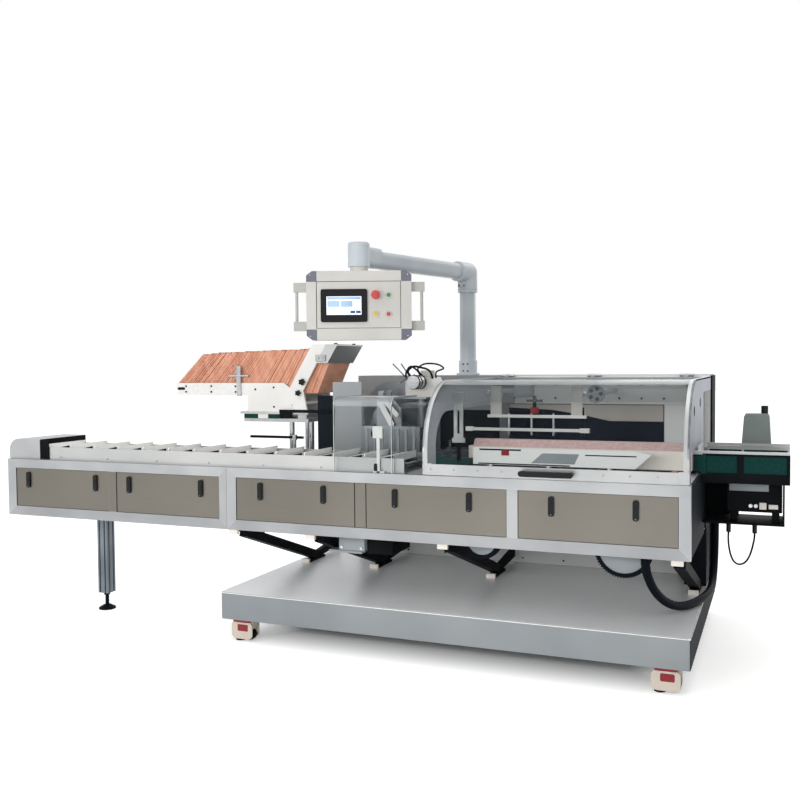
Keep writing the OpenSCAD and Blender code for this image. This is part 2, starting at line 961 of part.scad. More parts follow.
floor_t = 12;
blank_z = mag_floor + floor_t;

module magazine_sides() {
  color(cream)
    machine() {
      along_y(mag_y0, mag_y0 + mag_t)
        magazine_outline();
      along_y(mag_y1 - mag_t, mag_y1)
        magazine_outline();
      block([mag_x0, mag_y0, mag_floor], [mag_x1, mag_y1, blank_z]);
    }
}

base_x0 = mag_deep_x - 40;
base_x1 = mag_x1 + 52;
base_top_t = 12;
base_low_t = 18;
base_low_z = mag_low - 53;
base_over = 8;
base_in = 14;
block_w = 50;
block_x = [base_x0 + 16, base_x0 + 150, base_x0 + 330];

// Two base plates with spacer blocks between them
module magazine_base() {
  color(steel)
    machine() {
      block([base_x0, mag_y0 - base_over, mag_low - base_top_t], [base_x1, mag_y1 + base_over, mag_low]);
      block([base_x0 + base_in, mag_y0 + base_over, base_low_z],
         [base_x1 - base_over, mag_y1 - base_over, base_low_z + base_low_t]);
      for (x = block_x)
        block([x, mag_y0 + base_in, base_low_z + base_low_t - eps],
           [x + block_w, mag_y1 - base_in, mag_low - base_top_t + eps]);
    }
}

// Height of the leaning stack and its bundles, which run on past the gate
blank_top0 = gate_top - 39;
blank_top1 = gate_top - 17;
stack_x0 = mag_x0 + 1;
stack_x1 = mag_x1 + 82;
bundle_l = (stack_x1 - stack_x0) / bundles;
bundle_gap = 1;
blank_clear = 4;

// Tops follow a straight rise, with a small step from bundle to bundle
function bundle_top(i) = blank_top0 + (blank_top1 - blank_top0) * i / (bundles - 1) + (i % 3) * 2 - 2;

// Leaning bundle of flat blanks, cut level where it stands on the magazine's floor
module bundle_outline(i) {
  high = bundle_top(i);
  x = stack_x0 + i * bundle_l;
  shift_low = (blank_z - mag_top) * blank_lean;
  shift_high = (high - mag_top) * blank_lean;
  polygon([
    [x + shift_low, blank_z], [x + bundle_l - bundle_gap + shift_low, blank_z],
    [x + bundle_l - bundle_gap + shift_high, high], [x + shift_high, high]
  ]);
}

module carton_blanks() {
  color(kraft)
    machine()
      for (i = [1 : bundles - 1])
        along_y(mag_y0 + mag_t + blank_clear, mag_y1 - mag_t - blank_clear)
          bundle_outline(i);
}

gate_w = 50;
gate_lean = 101;
gate_t = 14;
gate_rod_d = 16;
gate_rod_z = mag_low + 46;

module gate_outline() {
  polygon([
    [mag_x1 - gate_w / 2, mag_low], [mag_x1 + gate_w / 2, mag_low],
    [mag_x1 + gate_w / 2 + gate_lean, gate_top], [mag_x1 - gate_w / 2 + gate_lean, gate_top]
  ]);
}

// Inclined gate bars with the cross rod that ties them below the blanks
module magazine_gate() {
  color(cream)
    machine() {
      for (y = [mag_y0 - gate_t, mag_y1])
        along_y(y, y + gate_t)
          gate_outline();
      bar_y(mag_y0 - gate_t + 1, mag_y1 + gate_t - 1, mag_x1 + gate_w / 2, gate_rod_z, gate_rod_d);
    }
}

outlet_l = 210;
outlet_h = 76;
outlet_slope = 40;
outlet_t = 6;
outlet_x0 = mag_x1 + gate_w / 2 + gate_lean;
outlet_rod = [outlet_x0 + outlet_l - 30, gate_top - 30];

// Sheet metal outlet past the gate: two side plates, a roof and a cross rod
module magazine_outlet() {
  color(steel)
    machine() {
      for (y = [mag_y0 - gate_t, mag_y1 + gate_t - outlet_t])
        along_y(y, y + outlet_t)
          polygon([
            [outlet_x0, gate_top], [outlet_x0 + outlet_l, gate_top],
            [outlet_x0 + outlet_l - outlet_slope, gate_top - outlet_h],
            [outlet_x0 - gate_lean * outlet_h / (gate_top - mag_low), gate_top - outlet_h]
          ]);
      block([outlet_x0, mag_y0 - gate_t + 1, gate_top - outlet_t],
         [outlet_x0 + outlet_l - 1, mag_y1 + gate_t - 1, gate_top]);
      bar_y(mag_y0 - gate_t + 1, mag_y1 + gate_t - 1, outlet_rod[0], outlet_rod[1], gate_rod_d);
    }
}

post_d = 28;
post_in = 50;
post_x = [mag_x1 - 74, mag_x1 + 40];
crank_x = mag_x1 - 12;
crank_y = mag_y0 - 34;
crank_z = 938;
crank_reach = [260, 52];
crank_stem_d = 16;
crank_hub_d = 26;
crank_bar_d = 12;

// Clamp post that holds the blanks' side guide on the front plate
clamp_x = mag_deep_x - 46;
clamp_w = 24;
clamp_t = 10;
clamp_z = [mag_floor - 4, mag_top + 88];
clamp_rod_z = mag_top + 37;
clamp_rod_l = 116;
clamp_rod_d = 12;

// Posts under the magazine, the crank that lifts it, and the clamp post
module magazine_posts() {
  color(steel)
    machine() {
      for (x = post_x)
        for (y = [mag_y0 + post_in, mag_y1 - post_in])
          bar_z(housing_top, base_low_z, x, y, post_d);
      bar_z(housing_top, crank_z, crank_x, crank_y, crank_stem_d);
      bar_z(crank_z - crank_hub_d / 2, crank_z + crank_hub_d / 2, crank_x, crank_y, crank_hub_d);
      bar_x(crank_x - crank_reach[0], crank_x + crank_reach[1], crank_y, crank_z, crank_bar_d);
      block([clamp_x - clamp_w / 2, mag_y0 - clamp_t, clamp_z[0]],
         [clamp_x + clamp_w / 2, mag_y0, clamp_z[1]]);
      bar_x(clamp_x - clamp_rod_l / 2, clamp_x + clamp_rod_l / 2, mag_y0 - clamp_t / 2 - 1,
         clamp_rod_z, clamp_rod_d);
    }
}

feeder_x0 = -1600;
feeder_x1 = -1290;
feeder_top = 1140;
feeder_t = 8;
feeder_slope = [120, 150];
feeder_front_top = 1000;
feeder_axis = [-1530, 1040];
feeder_shaft_d = 40;
turret_r = 180;
turret_y = line_y1 - 2 * feeder_t;
arm_count = 3;
arm_y = [540, 640];
arm_t = 16;
arm_hub_r = 46;
arm_reach = 132;
arm_width = 28;
arm_round = 12;

// Rear side plate of the feeder, with its slanted corner
module feeder_plate_outline() {
  polygon([
    [feeder_x0, housing_top], [feeder_x1, housing_top], [feeder_x1, feeder_top],
    [feeder_x0 + feeder_slope[0], feeder_top], [feeder_x0, feeder_top - feeder_slope[1]]
  ]);
}

// Suction arms of the feeder, standing out from their hub
module suction_arms() {
  circle(r = arm_hub_r);
  for (i = [0 : arm_count - 1])
    rotate(90 + i * 360 / arm_count)
      translate([0, -arm_width / 2])
        round_rect(arm_reach, arm_width, arm_round);
}

// Rotary carton feeder between two side plates: turret disc and suction arms on one shaft
module carton_feeder() {
  front = line_y0 + 2 * feeder_t;
  color("#9AA1A6")
    machine() {
      block([feeder_x0, front, housing_top], [feeder_x1, front + feeder_t, feeder_front_top]);
      along_y(line_y1, line_y1 + feeder_t)
        feeder_plate_outline();
      block([feeder_x0 + feeder_slope[0], gearbox_y0, feeder_top - feeder_t],
         [feeder_x1, line_y1 + feeder_t, feeder_top]);
      bar_z(feeder_front_top - 1, feeder_top - 1, feeder_x1 - feeder_shaft_d,
         gearbox_y0 + feeder_shaft_d, feeder_shaft_d);
      block([feeder_x1 - 2 * feeder_shaft_d, front + 1, feeder_front_top - feeder_t],
         [feeder_x1, gearbox_y0 + 2 * feeder_shaft_d, feeder_front_top]);
      bar_y(arm_y[0] - arm_t, line_y1 + 1, feeder_axis[0], feeder_axis[1], feeder_shaft_d);
      bar_y(turret_y, turret_y + feeder_t, feeder_axis[0], feeder_axis[1], 2 * turret_r);
      for (y = arm_y)
        along_y(y, y + arm_t)
          translate(feeder_axis)
            suction_arms();
    }
}

gearbox_x0 = -1452;
gearbox_x1 = -1262;
gearbox_y0 = 545;
gearbox_y1 = 700;
gearbox_h = 86;
gearbox_r = 14;
gearbox_motor_d = 84;
gearbox_motor_l = 96;
gearbox_motor_x = gearbox_x0 + 116;
gearbox_cap_d = 70;
gearbox_cap_h = 34;

module feeder_gearbox() {
  top = feeder_top + gearbox_h;
  color(cream)
    machine() {
      along_y(gearbox_y0, gearbox_y1)
        translate([gearbox_x0, feeder_top])
          round_rect(gearbox_x1 - gearbox_x0, gearbox_h, gearbox_r);
      bar_y(gearbox_y0 - gearbox_motor_l, gearbox_y0 + 1, gearbox_motor_x,
         feeder_top + gearbox_h / 2 + feeder_t, gearbox_motor_d);
      bar_z(top - 1, top + gearbox_cap_h, gearbox_x1 - gearbox_cap_d,
         (gearbox_y0 + gearbox_y1) / 2, gearbox_cap_d);
    }
}

guard_t = 6;
guard_y0 = 4;
guard_r = 40;
guard_top = 1160;
guard_d = 300;
guard_x = [-1525, -1245];
guard_side_x = [-1238, hood_x0 - 9];
guard_side = [10, 30, 60];

// Bent clear sheet: upright front, round bend, level top
module guard_outline(y0, top, depth) {
  translate([y0, housing_top])
    square([guard_t, top - guard_r - housing_top]);
  translate([y0 + guard_r, top - guard_t])
    square([depth - guard_r, guard_t]);
  intersection() {
    translate([y0 + guard_r, top - guard_r])
      difference() {
        circle(r = guard_r);
        circle(r = guard_r - guard_t);
      }
    translate([y0, top - guard_r])
      square([guard_r, guard_r]);
  }
}

module fixed_guard() {
  color(clear)
    machine() {
      along_x(guard_x[0], guard_x[1])
        guard_outline(guard_y0, guard_top, guard_d);
      along_x(guard_side_x[0], guard_side_x[1])
        guard_outline(guard_y0 + guard_side[0], guard_top - guard_side[1], guard_d - guard_side[2]);
    }
}

line_t = 6;
line_lip = 14;
line_x1 = -16;
line_r = 22;
line_mid = line_top - line_r;
line_in = 80;
line_chain = [line_y0 + line_in, line_y1 - line_in - chain_w];
line_shaft_d = 24;
line_shafts = [line_x0 + 2 * line_shaft_d, (line_x0 + line_x1) / 2, line_x1 - 2 * line_shaft_d];
line_spans = [
  [line_y0 + line_t, line_chain[0]], [line_chain[0] + chain_w, line_chain[1]],
  [line_chain[1] + chain_w, line_y1 - line_t]
];
lug_h = 46;
lug_t = 10;
lug_start = 70;
lug_pitch = 150;
lug_n = floor((line_x1 - line_x0 - lug_start - line_shaft_d) / lug_pitch);
seat = 0.1;

// Twin carton chain with upright lugs between its side frames
module carton_conveyor() {
  color("#8A9095")
    machine() {
      for (y = [line_y0, line_y1 - line_t])
        block([line_x0, y, housing_top], [line_x1, y + line_t, line_top - line_lip]);
      for (y = line_chain) {
        along_y(y, y + chain_w)
          loop_outline(line_shafts[0], line_shafts[2], line_mid, line_r);
        for (i = [0 : lug_n - 1])
          block([line_x0 + lug_start + i * lug_pitch, y, line_top + seat],
             [line_x0 + lug_start + lug_t + i * lug_pitch, y + chain_w, line_top + lug_h]);
      }
      for (x = line_shafts)
        for (s = line_spans)
          bar_y(s[0] + seat, s[1] - seat, x, line_mid, line_shaft_d);
    }
}

shroud_x1 = -30;
shroud_z0 = 912;
shroud_top = 985;
shroud_d = 62;
shroud_lip = 36;
shroud_slope = 44;
shroud_legs = 4;
shroud_leg = [24, 20];
shroud_leg_start = 60;
shroud_leg_pitch = (shroud_x1 - shroud_x0 - 2 * shroud_leg_start - shroud_leg[0]) / (shroud_legs - 1);

// Long cover over the flap closers, on its legs
module carton_shroud() {
  color(pink)
    machine() {
      along_x(shroud_x0, shroud_x1)
        polygon([
          [shroud_y0, shroud_z0], [shroud_y0, shroud_z0 + shroud_lip],
          [shroud_y0 + shroud_slope, shroud_top], [shroud_y0 + shroud_d, shroud_top],
          [shroud_y0 + shroud_d, shroud_z0]
        ]);
      for (i = [0 : shroud_legs - 1])
        translate([shroud_x0 + shroud_leg_start + i * shroud_leg_pitch, shroud_y0 + shroud_leg[1], 0])
          block([0, 0, housing_top], [shroud_leg[0], shroud_leg[1], shroud_z0 + 1]);
    }
}

plough_y = 250;
plough_t = 14;
plough_x0 = -980;
plough_x1 = -205;
plough_z0 = 862;
plough_z1 = 904;
plough_tip = 90;
plough_pins = 3;
plough_pin_d = 12;
plough_pin_x = 80;
plough_pin_pitch = 260;
slot_plate = [48, 338];
slot_plate_x = -1068;
slot_plate_y = 400;
slot_plate_t = 8;
slot_w = 10;
slot_h = 130;
slot_z = 113;

// Polished plough bar with its pointed end, and the slotted bracket by the feeder
module folding_ploughs() {
  color(steel)
    machine() {
      along_y(plough_y, plough_y + plough_t)
        polygon([
          [plough_x0, plough_z0], [plough_x0, plough_z1], [plough_x1 - plough_tip, plough_z1],
          [plough_x1, plough_z1 - plough_t], [plough_x1 - plough_tip, plough_z0]
        ]);
      for (i = [0 : plough_pins - 1])
        bar_z(housing_top, plough_z0 + 1, plough_x0 + plough_pin_x + i * plough_pin_pitch,
           plough_y + plough_t / 2, plough_pin_d);
      along_y(slot_plate_y, slot_plate_y + slot_plate_t)
        translate([slot_plate_x, housing_top])
          difference() {
            square(slot_plate);
            translate([(slot_plate[0] - slot_w) / 2, slot_z])
              round_rect(slot_w, slot_h, slot_w / 2 - fit);
          }
    }
}

guide_x = [-1168, -990];
guide_y = [275, 320, 360];
guide_h = [21, 45];

module guide_blocks() {
  color(green)
    machine()
      translate([0, 0, housing_top])
        along_x(guide_x[0], guide_x[1])
          polygon([
            [guide_y[0], 0], [guide_y[2], 0], [guide_y[2], guide_h[1]], [guide_y[1], guide_h[1]],
            [guide_y[0], guide_h[0]]
          ]);
}

// Hold-down sizes: two shafts out of the back wall, a tie bar, hangers and two rails
shaft_x = [-985, -470];
shaft_d = 26;
shaft_nose = 20;
pulley_w = 18;
hold_y = 590;
hold_t = 10;
hanger_w = 56;
hanger_x = [shaft_x[0] + 8, shaft_x[1] - 118];
hanger_up = 34;
tie_d = 22;
tie_y = hold_y + 30;
tie_over = 20;
tie_clamp = [24, 32, 28];
hold_rail_d = 14;
upper_rail = [-1024, -520];
lower_rail = [-1072, -508];
rod_x = [-885, -775, -670];
rod_d = 12;
rod_over = [26, 14];
probe_x = -530;
probe_d = 9;
probe_z = [lower_rail_z - 50, upper_rail_z + 44];

// Hold-down rails hung from two shafts that come out of the back wall
module hold_down_frame() {
  color(steel)
    machine() {
      for (x = shaft_x) {
        bar_y(hold_y - shaft_nose, rear_y, x, shaft_z, shaft_d);
        bar_y(hold_y - shaft_nose - 2, hold_y - shaft_nose - 2 + pulley_w, x, shaft_z, pulley_d);
        block([x - tie_clamp[0] / 2, tie_y - tie_clamp[1] / 2, shaft_z - tie_clamp[2] / 2],
           [x + tie_clamp[0] / 2, tie_y + tie_clamp[1] / 2, shaft_z + tie_clamp[2] / 2]);
      }
      bar_x(shaft_x[0] - tie_over, shaft_x[1] + tie_over, tie_y, shaft_z - 2, tie_d);
      for (x = hanger_x) {
        block([x, hold_y, upper_rail_z - 4], [x + hanger_w, hold_y + hold_t, shaft_z + hanger_up]);
        block([x, hold_y + hold_t - 1, shaft_z - tie_d / 2], [x + hanger_w, tie_y, shaft_z + 2]);
      }
      hold_rail(upper_rail, upper_rail_z);
      hold_rail(lower_rail, lower_rail_z);
      for (x = rod_x)
        bar_z(lower_rail_z - rod_over[0], upper_rail_z + rod_over[1], x, hold_y + 1, rod_d);
      bar_z(probe_z[0], probe_z[1], probe_x, hold_y + 1, probe_d);
    }
}

// Square hold-down rail between two ends at a height
module hold_rail(ends, z) {
  block([ends[0], hold_y + 1 - hold_rail_d / 2, z - hold_rail_d / 2],
     [ends[1], hold_y + 1 + hold_rail_d / 2, z + hold_rail_d / 2]);
}

knob_x = rod_x[1];
knob_z = upper_rail_z + rod_over[1];
knob_block = [32, 28, 26];
knob_stem_d = 14;
knob_h = 74;
knob_arm_z = 40;
knob_arm_d = 11;
knob_reach = 38;

// Star knob on its clamp block
module height_knob() {
  arms = 4;
  color(black)
    machine()
      translate([knob_x, hold_y + 1, knob_z]) {
        translate([-knob_block[0] / 2, -knob_block[1] / 2, 0])
          cube(knob_block);
        cylinder(d = knob_stem_d, h = knob_h);
        translate([0, 0, knob_arm_z])
          for (i = [0 : arms - 1])
            rotate(i * 360 / arms)
              rotate([0, 90, 0])
                cylinder(d = knob_arm_d, h = knob_reach);
      }
}

column_flange = 150;
column_flange_t = 12;
column_flange_r = 12;
column_sides = 8;
sleeve_d = column_d + 24;
sleeve_h = 82;
collar_h = 17;
spindle_d = 50;
spindle_h = 60;

// Eight-sided column bar, measured across its flats
module column_bar(z0, z1, flats) {
  translate([0, 0, z0])
    rotate(180 / column_sides)
      cylinder(d = flats / cos(180 / column_sides), h = z1 - z0, $fn = column_sides);
}

module panel_column() {
  color(blue_grey)
    machine()
      translate([column_x, column_y, 0]) {
        translate([-column_flange / 2, -column_flange / 2, rear_top])
          linear_extrude(height = column_flange_t)
            round_rect(column_flange, column_flange, column_flange_r);
        column_bar(rear_top, rear_top + sleeve_h, sleeve_d);
        column_bar(rear_top, column_top, column_d);
        bar_z(column_top - collar_h, column_top, 0, 0, root_d);
        bar_z(column_top - 1, column_top + spindle_h, 0, 0, spindle_d);
      }
}

rail_h = 16;
discharge_rail_w = 14;
discharge_post_w = 10;
discharge_post_x = 152;
discharge_start = 6;
tie_x = [60, 280];
tie_w = 20;
guide_z = 926;
guide_in = 30;
guide_t = 8;
guide_rail_h = 12;
guide_post_x = [40, 300];
guide_post_w = 12;

// Side frames of the discharge conveyor and the guide rail above its belt
module discharge_frame() {
  color(steel)
    machine() {
      for (y = [line_y0, line_y1 - discharge_rail_w])
        discharge_side(y, y + discharge_rail_w);
      for (x = tie_x)
        block([x, line_y0 + 1, discharge_low + 2], [x + tie_w, line_y1 - 1, discharge_low + rail_h - 2]);
      block([discharge_start, line_y1 - guide_in, guide_z],
         [discharge_l, line_y1 - guide_in + guide_t, guide_z + guide_rail_h]);
      for (x = guide_post_x)
        block([x, line_y1 - guide_in, discharge_top - guide_t],
           [x + guide_post_w, line_y1 - 4, guide_z + 4]);
    }
}

// One side frame: lower rail, upper rail and three posts
module discharge_side(y0, y1) {
  block([0, y0, discharge_low], [discharge_l, y1, discharge_low + rail_h]);
  block([discharge_start, y0, discharge_top - rail_h], [discharge_l, y1, discharge_top]);
  for (x = [discharge_start, discharge_post_x, discharge_l - discharge_post_w])
    block([x, y0, discharge_low + 1], [x + discharge_post_w, y1, discharge_top - 1]);
}

bay_x = [
  [discharge_start + discharge_post_w, discharge_post_x],
  [discharge_post_x + discharge_post_w, discharge_l - discharge_post_w]
];
bay_in = 4;
bay_t = 8;

module discharge_panels() {
  color(green)
    machine()
      for (y = [line_y0 + bay_in, line_y1 - bay_in - bay_t])
        for (b = bay_x)
          block([b[0], y, discharge_low + rail_h], [b[1], y + bay_t, discharge_top - rail_h]);
}

belt_r = 34;
belt_z = line_top - belt_r;
belt_in = 4;
belt_shaft_d = 20;
belt_x = [8 + belt_r, discharge_l - belt_r - belt_in];

// Discharge belt as one loop round its two rollers
module discharge_belt() {
  belt_y0 = line_y0 + discharge_rail_w;
  belt_y1 = line_y1 - discharge_rail_w;
  color(green)
    machine() {
      along_y(belt_y0 + belt_in, belt_y1 - belt_in)
        loop_outline(belt_x[0], belt_x[1], belt_z, belt_r);
      for (x = belt_x)
        bar_y(belt_y0 - 2, belt_y1 + 2, x, belt_z, belt_shaft_d);
    }
}

head_x0 = 122;
head_x1 = 258;
head_y0 = line_y1 + 8;
head_d = 100;
head_low = 905;
head_top = 1068;
head_flank = [16, 8];
head_bevel = 14;
head_post_in = 42;
head_post_t = 30;
plug_d = 30;
plug_h = 34;

// Print head with slanted flanks on its upright, behind the belt
module coder_head() {
  color("#6F7877")
    machine() {
      along_y(head_y0, head_y0 + head_d)
        polygon([
          [head_x0, head_low], [head_x1, head_low], [head_x1 - head_flank[1], head_top - head_bevel],
          [head_x1 - head_flank[1] - head_bevel / 2, head_top],
          [head_x0 + head_flank[0] + head_bevel / 2, head_top],
          [head_x0 + head_flank[0], head_top - head_bevel]
        ]);
      block([head_x0 + head_post_in, line_y1, discharge_low],
         [head_x1 - head_post_in, line_y1 + head_post_t, head_low + 1]);
      bar_z(head_top - 1, head_top + plug_h, head_x1 - plug_d, head_y0 + 2 * plug_d, plug_d);
    }
}

tray_t = 10;
tray_over = 20;
coder_lift = 32;
coder_under = 10;
coder_foot = 30;
coder_foot_in = 11;
coder_z0 = tray_z + tray_t + coder_lift;
coder_z1 = discharge_low - coder_under;

// Coder cabinet on feet in its tray, which is bolted to the right end
module coder_box() {
  color(black)
    machine() {
      block([coder_x0, coder_y0, coder_z0], [coder_x0 + coder_l, coder_y0 + coder_d, coder_z1]);
      for (x = [coder_x0 + coder_foot_in, coder_x0 + coder_l - coder_foot_in - coder_foot])
        for (y = [coder_y0 + coder_foot_in, coder_y0 + coder_d - coder_foot_in - coder_foot])
          block([x, y, tray_z + tray_t - 1], [x + coder_foot, y + coder_foot, coder_z0 + 1]);
      block([0, coder_y0 - tray_over, tray_z],
         [coder_x0 + coder_l + tray_over / 5, coder_y0 + coder_d + tray_over, tray_z + tray_t]);
    }
}

// Area under the hood's skin in Y-Z, with its skin moved in by an inset
module hood_area(inset) {
  intersection() {
    union() {
      translate([hood_front + hood_r, hood_top - hood_r])
        circle(r = hood_r - inset, $fn = 96);
      translate([hood_front + inset, hood_low])
        square([hood_r - inset, hood_top - hood_r - hood_low]);
      translate([hood_front + hood_r, hood_low])
        square([hood_back - hood_front - hood_r, hood_top - inset - hood_low]);
    }
    translate([hood_front, hood_low])
      square([hood_back - hood_front, hood_top - hood_low]);
  }
}

// Strip of the hood's skin between two insets
module hood_skin(outer, inner) {
  difference() {
    hood_area(outer);
    hood_area(inner);
  }
}

rim_t = 5;

module hood_left_arch() {
  color(steel)
    machine() {
      along_x(hood_x0, hood_x0 + arch_t)
        hood_skin(0, arch_w);
      along_x(hood_x0, hood_x0 + rim_w)
        hood_skin(0, rim_t);
    }
}

end_plate_y = 630;
end_plate_z = 950;
end_holes = [[190, 1105], [470, 1128]];
end_hole_d = 40;

module hood_right_arch() {
  color(steel)
    machine() {
      along_x(hood_x1 - arch_t, hood_x1)
        difference() {
          union() {
            hood_skin(0, arch_w);
            intersection() {
              hood_area(0);
              translate([hood_front, end_plate_z])
                square([end_plate_y - hood_front, hood_top - end_plate_z]);
            }
          }
          for (p = end_holes)
            translate(p)
              circle(d = end_hole_d);
        }
      along_x(hood_x1 - rim_w, hood_x1)
        hood_skin(0, rim_t);
    }
}

hood_rail_d = 36;
hood_rail_h = 24;

// Steel band along the front edge and rail along the hinges
module hood_rails() {
  color(steel)
    machine() {
      block([hood_x0 + rim_w, hood_front, hood_low], [hood_x1 - rim_w, hood_front + rim_t, hood_low + band_h]);
      block([hood_x0 + rim_w, hood_back - hood_rail_d, hood_top - hood_rail_h],
         [hood_x1 - rim_w, hood_back, hood_top]);
      for (x = hinge_places)
        hood_knuckle(x);
    }
}

hinge_places = [for (i = [0 : 2]) hinge_first - i * hinge_pitch];
knuckle_gap = 0.4;
leaf_t = 6;
leaf_drop = 44;

// Middle knuckle of a hinge with its bore and its leaf on the hood's rail
module hood_knuckle(x) {
  w = hinge_l / 3 - knuckle_gap;
  difference() {
    union() {
      bar_x(x - w / 2, x + w / 2, hinge_y, hinge_z, 2 * knuckle_r);
      block([x - w / 2, hood_back - hood_rail_d, hood_top - 1],
         [x + w / 2, hinge_y, hood_top + leaf_t]);
    }
    bar_x(x - w, x + w, hinge_y, hinge_z, pin_d + 2 * fit);
  }
}

module hood_sheet() {
  color(clear)
    machine()
      difference() {
        along_x(hood_x0 + arch_t, hood_x1 - arch_t)
          hood_skin(rim_t, rim_t + sheet_t);
        block([hood_x0, hood_back - hood_rail_d, hood_top - hood_rail_h - 1],
           [hood_x1, hood_back + 1, hood_top + 1]);
      }
}

handle_z = hood_low + band_h / 2;
handle_post_d = handle_d * 0.8;

module hood_handle() {
  y = hood_front - handle_reach + handle_d / 2;
  color(black)
    machine() {
      bar_x(handle_x - handle_l / 2, handle_x + handle_l / 2, y, handle_z, handle_d);
      for (x = [handle_x - handle_l / 2, handle_x + handle_l / 2]) {
        translate([x, y, handle_z])
          sphere(d = handle_d);
        bar_y(y, hood_front, x, handle_z, handle_post_d);
      }
    }
}

// Fixed hinge halves: two outer knuckles, the pin and the leaf on the back wall
module hood_hinges() {
  w = hinge_l / 3;
  color(steel)
    machine()
      for (x = hinge_places) {
        for (side = [-1, 1]) {
          bar_x(x + side * w - w / 2, x + side * w + w / 2, hinge_y, hinge_z, 2 * knuckle_r);
          block([x + side * w - w / 2, hinge_y, hinge_z - leaf_t],
             [x + side * w + w / 2, rear_y, hinge_z]);
        }
        block([x - hinge_l / 2, rear_y - leaf_t, hinge_z - leaf_drop], [x + hinge_l / 2, rear_y, hinge_z]);
        bar_x(x - hinge_l / 2, x + hinge_l / 2, hinge_y, hinge_z, pin_d);
      }
}

// Arm sizes: a cast elbow over the column, a tube, and a round head over the panel
arm_h = 84;
arm_w = 76;
arm_r = 30;
root_d = 108;
root_sleeve = 105;
elbow_d = 104;
elbow_sleeve = [92, 96, 124];
sleeve_rise = (elbow_sleeve[1] - arm_h) / 2;
elbow_low = arm_z - arm_h / 2 - 2;
elbow_top = arm_z + 70;
elbow_lid = 8;
pivot_gap = 0.5;
pivot_clear = 4;
panel_pin_d = 40;
panel_pin_h = 50;

// Turns the panel arm's own axes, +Y back from the panel pivot, to its place
module on_arm() {
  translate([column_x, column_y, 0])
    rotate(-arm_turn)
      children();
}

// Level bar of the arm with round edges, from one distance off the column to another
module arm_bar(from, to, w, h, r) {
  translate([0, -to, arm_z])
    rotate([-90, 0, 0])
      linear_extrude(height = to - from)
        translate([-w / 2, -h / 2])
          round_rect(w, h, r);
}

module panel_arm() {
  color(blue_grey)
    machine()
      on_arm()
        difference() {
          union() {
            translate([0, 0, column_top + pivot_gap])
              cylinder(d = root_d, h = arm_rise - pivot_gap);
            translate([0, 0, arm_z])
              sphere(d = root_d);
            bar_y(-root_sleeve, 0, 0, arm_z, root_d);
            arm_bar(0, arm_l, arm_w, arm_h, arm_r);
            translate([0, 0, sleeve_rise])
              arm_bar(arm_l - elbow_sleeve[2], arm_l, elbow_sleeve[0], elbow_sleeve[1], arm_r);
            translate([0, -arm_l, elbow_low + pivot_gap])
              cylinder(d = elbow_d, h = elbow_top - elbow_low - elbow_lid);
            translate([0, -arm_l, elbow_top + pivot_gap - elbow_lid])
              cylinder(d1 = elbow_d, d2 = elbow_d - elbow_lid, h = elbow_lid);
          }
          bar_z(column_top - 1, column_top + spindle_h + pivot_clear, 0, 0, spindle_d + 2 * fit);
          bar_z(elbow_low - 1, elbow_low + panel_pin_h + pivot_clear, 0, -arm_l,
             panel_pin_d + 2 * fit);
        }
}

// Puts the panel's own axes at its pivot: +X along its width, -Y out of its screen
module on_panel() {
  translate([spigot_x, spigot_y, 0])
    rotate(panel_turn)
      children();
}

corner_w = 49;
corner_h = 50;
corner_cut = [27, 20];
neck_d = 84;
field_recess = 3;
field_x = [-200, 196];
field_z = [panel_low + 54, panel_top - 48];
panel_front = field_recess - panel_d / 2;

// Enclosure of closed profile rails, notched at its corners, with a sunk front field
module panel_enclosure() {
  color(cream)
    machine()
      on_panel() {
        difference() {
          along_y(-panel_d / 2, panel_d / 2)
            difference() {
              translate([-panel_w / 2, panel_low])
                square([panel_w, panel_h]);
              for (x = [-panel_w / 2 - 1, panel_w / 2 - corner_w])
                for (z = [panel_low - 1, panel_top - corner_h])
                  translate([x, z])
                    square([corner_w + 1, corner_h + 1]);
            }
          block([field_x[0], -panel_d / 2 - 1, field_z[0]], [field_x[1], panel_front, field_z[1]]);
        }
        bar_z(panel_top - 1, elbow_low, 0, 0, neck_d);
        bar_z(elbow_low - 1, elbow_low + panel_pin_h, 0, 0, panel_pin_d);
      }
}

// Moulded corner pieces with a slanted outer edge
module panel_corners() {
  color(dark_grey)
    machine()
      on_panel()
        for (side = [-1, 1])
          for (up = [-1, 1])
            translate([side * panel_w / 2, 0, (panel_low + panel_top + up * panel_h) / 2])
              along_y(-panel_d / 2, panel_d / 2)
                polygon([
                  [-side * corner_w, 0], [-side * corner_cut[0], 0],
                  [0, -up * corner_cut[1]], [0, -up * corner_h],
                  [-side * corner_w, -up * corner_h]
                ]);
}

bezel_w = 218;
bezel_h = 154;
bezel_t = 8;
bezel_r = 10;
bezel_x = -70;
bezel_z = panel_low + 160;
screen_w = 165;
screen_h = 88;

// Black bezel round the screen
module panel_trim() {
  color(black)
    machine()
      on_panel()
        difference() {
          along_y(panel_front - bezel_t, panel_front)
            translate([bezel_x - bezel_w / 2, bezel_z - bezel_h / 2])
              round_rect(bezel_w, bezel_h, bezel_r);
          along_y(panel_front - bezel_t - 1, panel_front - bezel_t / 2)
            translate([bezel_x - screen_w / 2, bezel_z - screen_h / 2])
              square([screen_w, screen_h]);
        }
}

module panel_screen() {
  color("#DDE8F2")
    machine()
      on_panel()
        block([bezel_x - screen_w / 2 + 1, panel_front - bezel_t + 1, bezel_z - screen_h / 2 + 1],
           [bezel_x + screen_w / 2 - 1, panel_front - bezel_t / 2, bezel_z + screen_h / 2 - 1]);
}

button_x = [78, 138];
button_z = [panel_low + 208, panel_low + 119];
button_d = 28;
button_cap_d = 20;
button_ring = 6;
button_rise = 12;
stop_d = 42;
stop_rise = 36;
stop_cap = 14;

